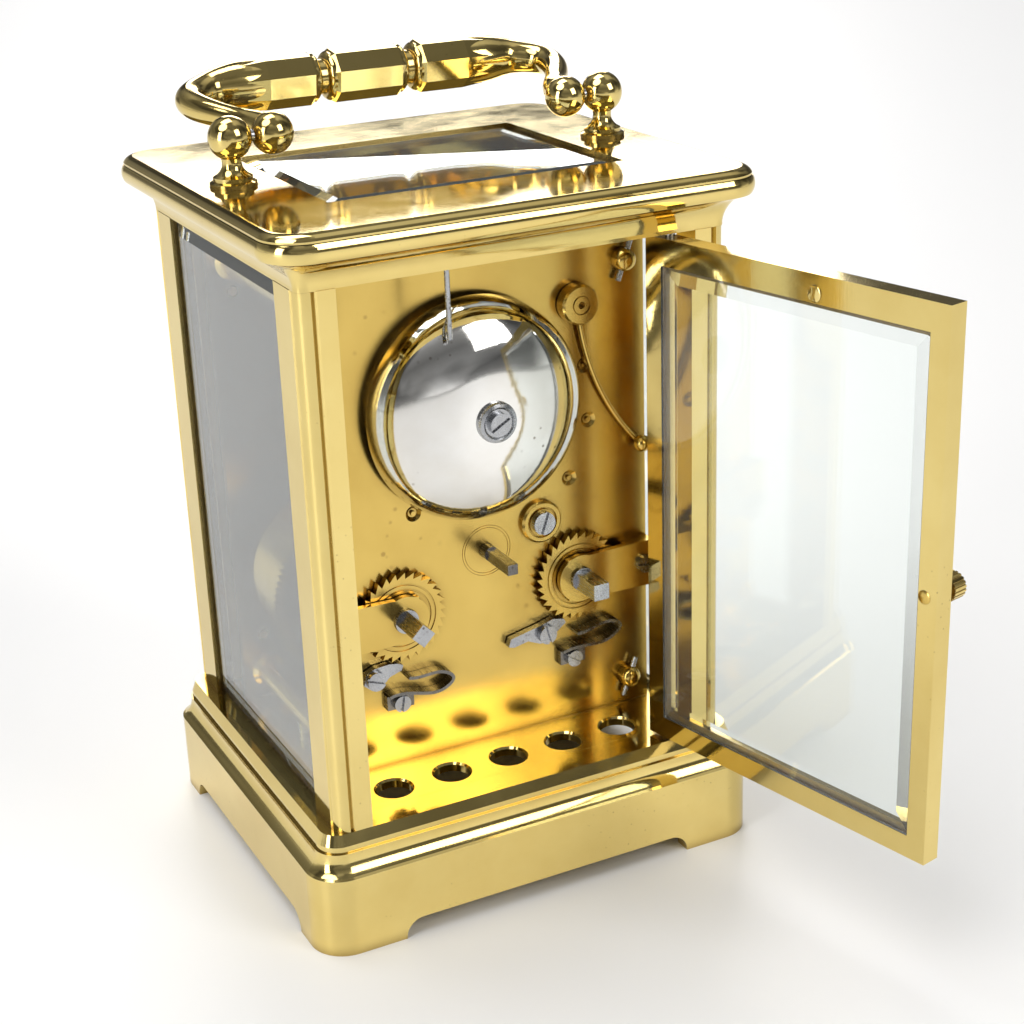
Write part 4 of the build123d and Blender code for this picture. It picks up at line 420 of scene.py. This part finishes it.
def rubyJewel(s):
    f = Finish("rubyJewel")
    rough = f.ramp(f.noise(700, 2), 0.3, s["gloss"][0], 0.7, s["gloss"][1])
    tone = f.mix(f.noise(900, 3), s["dark"], s["light"])
    f.set(colour=tone, metal=0.0, rough=rough, ior=s["ior"], clear=s["clear"])
    return f.mat


tableTop = {"light": (0.90, 0.90, 0.90), "grey": (0.88, 0.88, 0.885), "rough": 0.45}


def paleFloor(s):
    f = Finish("paleFloor")
    f.set(colour=f.mix(f.noise(3, 3), s["light"], s["grey"]), metal=0.0, rough=s["rough"])
    return f.mat


finishes = {
    "polished": polishedBrass(caseBrass),
    "satin": satinBrass(plateBrass, "satinBrass", plateBrass["flatGrain"]),
    "satinRound": satinBrass(plateBrass, "turnedBrass", plateBrass["roundGrain"]),
    "steel": polishedSteel(brightSteel, steelWork, "polishedSteel"),
    "bell": bellNickel(bellMetal),
    "glass": bevelGlass(doorGlass, "bevelGlass"),
    "pane": bevelGlass(paneGlass, "paneGlass"),
    "darkSteel": polishedSteel(springSteel, steelWork, "darkSteel"),
    "enamel": whiteEnamel(dialEnamel),
    "blued": bluedSteel(handSteel),
    "gilt": giltGrain(maskGilding),
    "black": numeralBlack(dialInk),
    "ruby": rubyJewel(jewelStone),
}

nodeFinish = {
    "polished": ["base", "floor_plate", "case_posts", "top_frame", "lid_plate", "handle_posts",
                 "carry_handle", "door_hinge_stile", "door_latch_stile", "door_top_rail", "door_bottom_rail",
                 "door_knob"],
    "satin": ["back_plate", "front_plate", "platform", "platform_cocks", "ratchet_bridges", "going_barrel",
              "strike_barrel", "going_intermediate_wheel", "centre_wheel", "third_wheel", "contrate_wheel",
              "strike_intermediate_wheel", "pin_wheel", "warning_wheel", "fly", "hour_wheel", "minute_wheel",
              "cannon_pinion", "balance_wheel", "eccentric_bush", "going_ratchet", "strike_ratchet",
              "hammer"],
    "satinRound": ["pillars"],
    "steel": ["case_screws", "handle_pins", "door_pins", "plate_screws", "going_winding_arbor",
              "strike_winding_arbor", "going_click", "strike_click", "going_mainspring", "strike_mainspring",
              "pallet_lever", "regulator_lever", "escape_wheel", "bell_stand"],
    "bell": ["bell"],
    "glass": ["lid_glass", "door_glass"],
    "pane": ["case_glasses"],
    "darkSteel": ["click_springs", "hand_set_arbor"],
    "enamel": ["dial"],
    "gilt": ["dial_mask"],
    "blued": ["hour_hand", "minute_hand"],
}
for finishName, nodeNames in nodeFinish.items():
    for nodeName in nodeNames:
        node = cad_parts[nodeName]
        if not node.material_slots:
            node.data.materials.append(finishes[finishName])
        for materialSlot in node.material_slots:
            materialSlot.material = finishes[finishName]

print("finishes on the CAD pieces")


# detail pieces, each modelled where it stays and given its body
smoothUpTo = 32          # degrees between faces that shade as one surface


def finishPiece(piece, name, finish, body):
    piece.name = name
    piece.data.name = name
    deselectAll()
    piece.select_set(True)
    bpy.context.view_layer.objects.active = piece
    bpy.ops.object.transform_apply(location=True, rotation=True, scale=True)
    bpy.ops.object.mode_set(mode='EDIT')
    bpy.ops.mesh.select_all(action='SELECT')
    bpy.ops.mesh.remove_doubles(threshold=0.000001)
    bpy.ops.mesh.normals_make_consistent(inside=False)
    bpy.ops.object.mode_set(mode='OBJECT')
    bpy.ops.object.shade_smooth_by_angle(angle=math.radians(smoothUpTo))
    piece.data.materials.clear()
    piece.data.materials.append(finishes[finish])
    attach(piece, body)
    return piece


def joinAll(pieces):
    deselectAll()
    for piece in pieces:
        piece.select_set(True)
    bpy.context.view_layer.objects.active = pieces[0]
    bpy.ops.object.join()
    return bpy.context.object


def turnedPiece(centre, profile, sides, axis=(0, 1, 0)):
    # a closed ring of circles: profile points are (radius, place along the axis), all in mm
    deselectAll()
    firstRadius, firstPlace = profile[0]
    way = Vector(axis).normalized()
    origin = Vector(centre)
    bpy.ops.mesh.primitive_circle_add(vertices=sides, radius=firstRadius * mm, fill_type='NOTHING',
                                      location=(origin + way * firstPlace) * mm,
                                      rotation=way.to_track_quat('Z', 'Y').to_euler())
    piece = bpy.context.object
    bpy.ops.object.transform_apply(location=True, rotation=True, scale=True)
    bpy.ops.object.mode_set(mode='EDIT')
    bpy.ops.mesh.select_all(action='SELECT')
    radius, place = firstRadius, firstPlace
    for nextRadius, nextPlace in profile[1:] + [profile[0]]:
        bpy.ops.mesh.extrude_region_move(TRANSFORM_OT_translate={"value": way * (nextPlace - place) * mm})
        grow = nextRadius / radius
        bpy.ops.transform.resize(value=(grow, grow, grow), center_override=(origin + way * nextPlace) * mm)
        radius, place = nextRadius, nextPlace
    bpy.ops.mesh.select_all(action='SELECT')
    bpy.ops.mesh.remove_doubles(threshold=0.0000005)
    bpy.ops.object.mode_set(mode='OBJECT')
    return piece


def stroke(start, end, width, rear, depth):
    # one flat stroke on the dial between two (x, z) points in mm
    deselectAll()
    run = Vector((end[0] - start[0], 0, end[1] - start[1]))
    middle = Vector(((start[0] + end[0]) / 2, rear - depth / 2, (start[1] + end[1]) / 2))
    bpy.ops.mesh.primitive_cube_add(size=1, location=middle * mm)
    bar = bpy.context.object
    bar.scale = (run.length * mm, depth * mm, width * mm)
    bar.rotation_euler = (0, -math.atan2(run.z, run.x), 0)
    bpy.ops.object.transform_apply(location=True, rotation=True, scale=True)
    return bar


dialLow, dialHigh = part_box("dial")
dialSetup = {
    "centre": ((dialLow[0] + dialHigh[0]) / 2 / mm, (dialLow[2] + dialHigh[2]) / 2 / mm),
    "face": dialLow[1] / mm,
    "sink": 0.03,
    "height": 0.10,
    "numeralInner": 18.4,
    "numeralOuter": 23.2,
    "thick": 0.80,
    "thin": 0.26,
    "serif": 0.24,
    "spacing": {"I": 1.30, "V": 3.0, "X": 2.9},
    "trackInner": 24.2,
    "trackOuter": 25.4,
    "hourMark": 0.55,
    "minuteMark": 0.2,
    "trackLine": 0.18,
    "trackSides": 128,
}
numerals = ("XII", "I", "II", "III", "IIII", "V", "VI", "VII", "VIII", "IX", "X", "XI")


def letterStrokes(letter, left, width, s):
    # strokes of one letter as (x, height) pairs inside the numeral band, with their widths
    low, high = s["numeralInner"], s["numeralOuter"]
    middle, right = left + width / 2, left + width
    edge = 0.28
    if letter == "I":
        return [((middle, low), (middle, high), s["thick"])]
    if letter == "V":
        return [((left + edge + 0.3, high), (middle, low), s["thick"]),
                ((right - edge, high), (middle, low), s["thin"])]
    return [((left + edge + 0.2, high), (right - edge - 0.2, low), s["thick"]),
            ((right - edge, high), (left + edge, low), s["thin"])]


def makeNumerals(s):
    bars = []
    rear, depth = s["face"] + s["sink"], s["sink"] + s["height"]
    for hour, numeral in enumerate(numerals):
        angle = math.radians(30 * hour)
        total = sum(s["spacing"][letter] for letter in numeral)
        strokes, left = [], -total / 2
        for letter in numeral:
            width = s["spacing"][letter]
            strokes += letterStrokes(letter, left, width, s)
            left += width
        for level in (s["numeralInner"], s["numeralOuter"]):
            strokes.append(((-total / 2 + 0.08, level), (total / 2 - 0.08, level), s["serif"]))
        for start, end, width in strokes:
            placed = []
            for x, height in (start, end):
                placed.append((s["centre"][0] + x * math.cos(angle) + height * math.sin(angle),
                               s["centre"][1] - x * math.sin(angle) + height * math.cos(angle)))
            bars.append(stroke(placed[0], placed[1], width, rear, depth))
    finishPiece(joinAll(bars), "dialNumerals", "black", "case")


def makeTrack(s):
    rear, depth = s["face"] + s["sink"], s["sink"] + s["height"]
    marks = []
    for minute in range(60):
        angle = math.radians(6 * minute)
        across, up = math.sin(angle), math.cos(angle)
        ends = [(s["centre"][0] + radius * across, s["centre"][1] + radius * up)
                for radius in (s["trackInner"], s["trackOuter"])]
        width = s["hourMark"] if minute % 5 == 0 else s["minuteMark"]
        marks.append(stroke(ends[0], ends[1], width, rear, depth))
    for radius in (s["trackInner"], s["trackOuter"]):
        inner, outer = radius - s["trackLine"] / 2, radius + s["trackLine"] / 2
        profile = [(inner, rear), (outer, rear), (outer, rear - depth), (inner, rear - depth)]
        marks.append(turnedPiece((s["centre"][0], 0, s["centre"][1]), profile, s["trackSides"]))
    finishPiece(joinAll(marks), "minuteTrack", "black", "case")


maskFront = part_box("dial_mask")[0][1] / mm
bezelSetup = {"front": maskFront, "inner": 26.2, "outer": 28.6, "rise": 0.7}


def makeBezel(s):
    front, rise = s["front"], s["rise"]
    profile = [(s["inner"], front + 0.75), (s["inner"], front - 0.25), (s["inner"] + 0.5, front - rise),
               (s["inner"] + 1.0, front - rise), (s["inner"] + 1.3, front - 0.35),
               (s["inner"] + 1.7, front - 0.3), (s["inner"] + 1.9, front - 0.55),
               (s["outer"] - 0.15, front - 0.5), (s["outer"], front - 0.2), (s["outer"], front + 0.1),
               (s["inner"] + 0.3, front + 0.1), (s["inner"] + 0.3, front + 0.75)]
    centre = (dialSetup["centre"][0], 0, dialSetup["centre"][1])
    finishPiece(turnedPiece(centre, profile, 160), "dialBezel", "polished", "case")


makeNumerals(dialSetup)
makeTrack(dialSetup)
makeBezel(bezelSetup)
print("dial figures, minute track and bezel")


# door fittings, set out in the door's own plane: u from the pivot to the latch, v outwards
doorSetup = {
    "turn": 102.7,
    "pivot": (-30.6, 37.55),
    "inner": -2.35,
    "bury": 0.02,
    "railScrew": (36.8, 122.6),
    "railScrewRadius": 1.5,
    "railScrewHeight": 0.28,
    "slotTurn": 25,
    "rivet": (62.5, 75.35),
    # radius and rise of each step
    "rivetDome": ((0.05, 0.0), (1.25, 0.0), (1.25, 0.06), (1.0, 0.18), (0.6, 0.26), (0.05, 0.3)),
    "sides": 40,
}


def doorPoint(s, u, v, z):
    turn = math.radians(s["turn"])
    return Vector((s["pivot"][0] + u * math.cos(turn) - v * math.sin(turn),
                   s["pivot"][1] + u * math.sin(turn) + v * math.cos(turn), z))


def screwHead(centre, way, s):
    # a low slotted head with a softened edge, standing off the surface along way
    radius, height = s["railScrewRadius"], s["railScrewHeight"]
    profile = [(0.05, 0.0), (radius, 0.0), (radius, height * 0.6), (radius * 0.88, height), (0.05, height)]
    head = turnedPiece(centre, profile, s["sides"], way)
    up = Vector(way).normalized()
    side = up.orthogonal().normalized()
    side.rotate(Matrix.Rotation(math.radians(s["slotTurn"]), 3, up))
    deselectAll()
    bpy.ops.mesh.primitive_cube_add(size=1, location=(Vector(centre) + up * height) * mm)
    cutter = bpy.context.object
    cutter.rotation_euler = Matrix((side, up.cross(side), up)).transposed().to_euler()
    cutter.scale = (3 * radius * mm, 0.26 * radius * mm, height * 0.9 * mm)
    bpy.ops.object.transform_apply(location=True, rotation=True, scale=True)
    deselectAll()
    bpy.context.view_layer.objects.active = head
    head.select_set(True)
    cut = head.modifiers.new("slot", 'BOOLEAN')
    cut.object = cutter
    cut.operation = 'DIFFERENCE'
    bpy.ops.object.modifier_apply(modifier="slot")
    bpy.data.objects.remove(cutter)
    return head


def makeDoorFittings(s):
    inwards = doorPoint(s, 0, -1, 0) - doorPoint(s, 0, 0, 0)
    railAt = doorPoint(s, s["railScrew"][0], s["inner"] + s["bury"], s["railScrew"][1])
    finishPiece(screwHead(railAt, inwards, s), "railScrew", "polished", "back_door")
    rivetAt = doorPoint(s, s["rivet"][0], s["inner"] + s["bury"], s["rivet"][1])
    rivet = turnedPiece(rivetAt, list(s["rivetDome"]), s["sides"], inwards)
    finishPiece(rivet, "knobRivet", "satin", "back_door")


makeDoorFittings(doorSetup)
print("door screw and rivet")


# platform: hairspring, jewels in their settings
balanceLow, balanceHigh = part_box("balance_wheel")
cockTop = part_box("platform_cocks")[1][2] / mm
platformSetup = {
    "balanceAt": ((balanceLow[0] + balanceHigh[0]) / 2 / mm, (balanceLow[1] + balanceHigh[1]) / 2 / mm),
    "springTurns": 9,
    "turnSteps": 40,
    "springInner": 0.55,
    "springOuter": 3.9,
    "springLevel": 127.3,
    "springHeight": 0.35,
    "springWall": 0.07,
    "bridgeTop": 127.45,
    "jewels": ((0.0, 8.6), (0.0, -6.0), (0.0, -0.3)),
    "jewelSides": 32,
    # radius and rise of each step
    "setting": ((0.55, -0.2), (1.15, -0.2), (1.15, 0.12), (1.0, 0.2), (0.6, 0.2), (0.55, 0.1)),
    "stone": ((0.12, -0.1), (0.56, -0.1), (0.56, 0.08), (0.35, 0.14), (0.12, 0.05)),
}


def makeHairspring(s):
    # a flat spiral strip: one edge path, extruded upwards and thickened
    deselectAll()
    bpy.ops.mesh.primitive_plane_add(size=mm, location=(0, 0, 0))
    spring = bpy.context.object
    bpy.ops.object.mode_set(mode='EDIT')
    bpy.ops.mesh.select_all(action='SELECT')
    bpy.ops.mesh.merge(type='CENTER')
    steps = s["springTurns"] * s["turnSteps"]
    start = Vector((s["balanceAt"][0] + s["springInner"], s["balanceAt"][1], s["springLevel"])) * mm
    bpy.ops.transform.translate(value=start)
    last = start
    for step in range(1, steps + 1):
        angle = 2 * math.pi * step / s["turnSteps"]
        radius = s["springInner"] + (s["springOuter"] - s["springInner"]) * step / steps
        x = s["balanceAt"][0] + radius * math.cos(angle)
        y = s["balanceAt"][1] + radius * math.sin(angle)
        point = Vector((x, y, s["springLevel"])) * mm
        bpy.ops.mesh.extrude_region_move(TRANSFORM_OT_translate={"value": point - last})
        last = point
    bpy.ops.mesh.select_all(action='SELECT')
    bpy.ops.mesh.extrude_region_move(TRANSFORM_OT_translate={"value": (0, 0, s["springHeight"] * mm)})
    bpy.ops.object.mode_set(mode='OBJECT')
    wall = spring.modifiers.new("wall", 'SOLIDIFY')
    wall.thickness = s["springWall"] * mm
    wall.offset = 0
    bpy.ops.object.modifier_apply(modifier="wall")
    finishPiece(spring, "hairspring", "blued", "case")


def makeJewels(s):
    for number, (x, y) in enumerate(s["jewels"]):
        top = cockTop if number == 0 else s["bridgeTop"]
        setting = [(radius, top + rise) for radius, rise in s["setting"]]
        stone = [(radius, top + rise) for radius, rise in s["stone"]]
        ring = turnedPiece((x, y, 0), setting, s["jewelSides"], (0, 0, 1))
        finishPiece(ring, "jewelSetting%d" % number, "polished", "case")
        jewel = turnedPiece((x, y, 0), stone, s["jewelSides"], (0, 0, 1))
        finishPiece(jewel, "jewel%d" % number, "ruby", "case")


makeHairspring(platformSetup)
makeJewels(platformSetup)
print("hairspring and jewels")


floorSize = 12000
deselectAll()
bpy.ops.mesh.primitive_plane_add(size=floorSize * mm, location=(0, 0, 0))
floor = bpy.context.object
floor.name = "studioFloor"
floor.data.materials.append(paleFloor(tableTop))
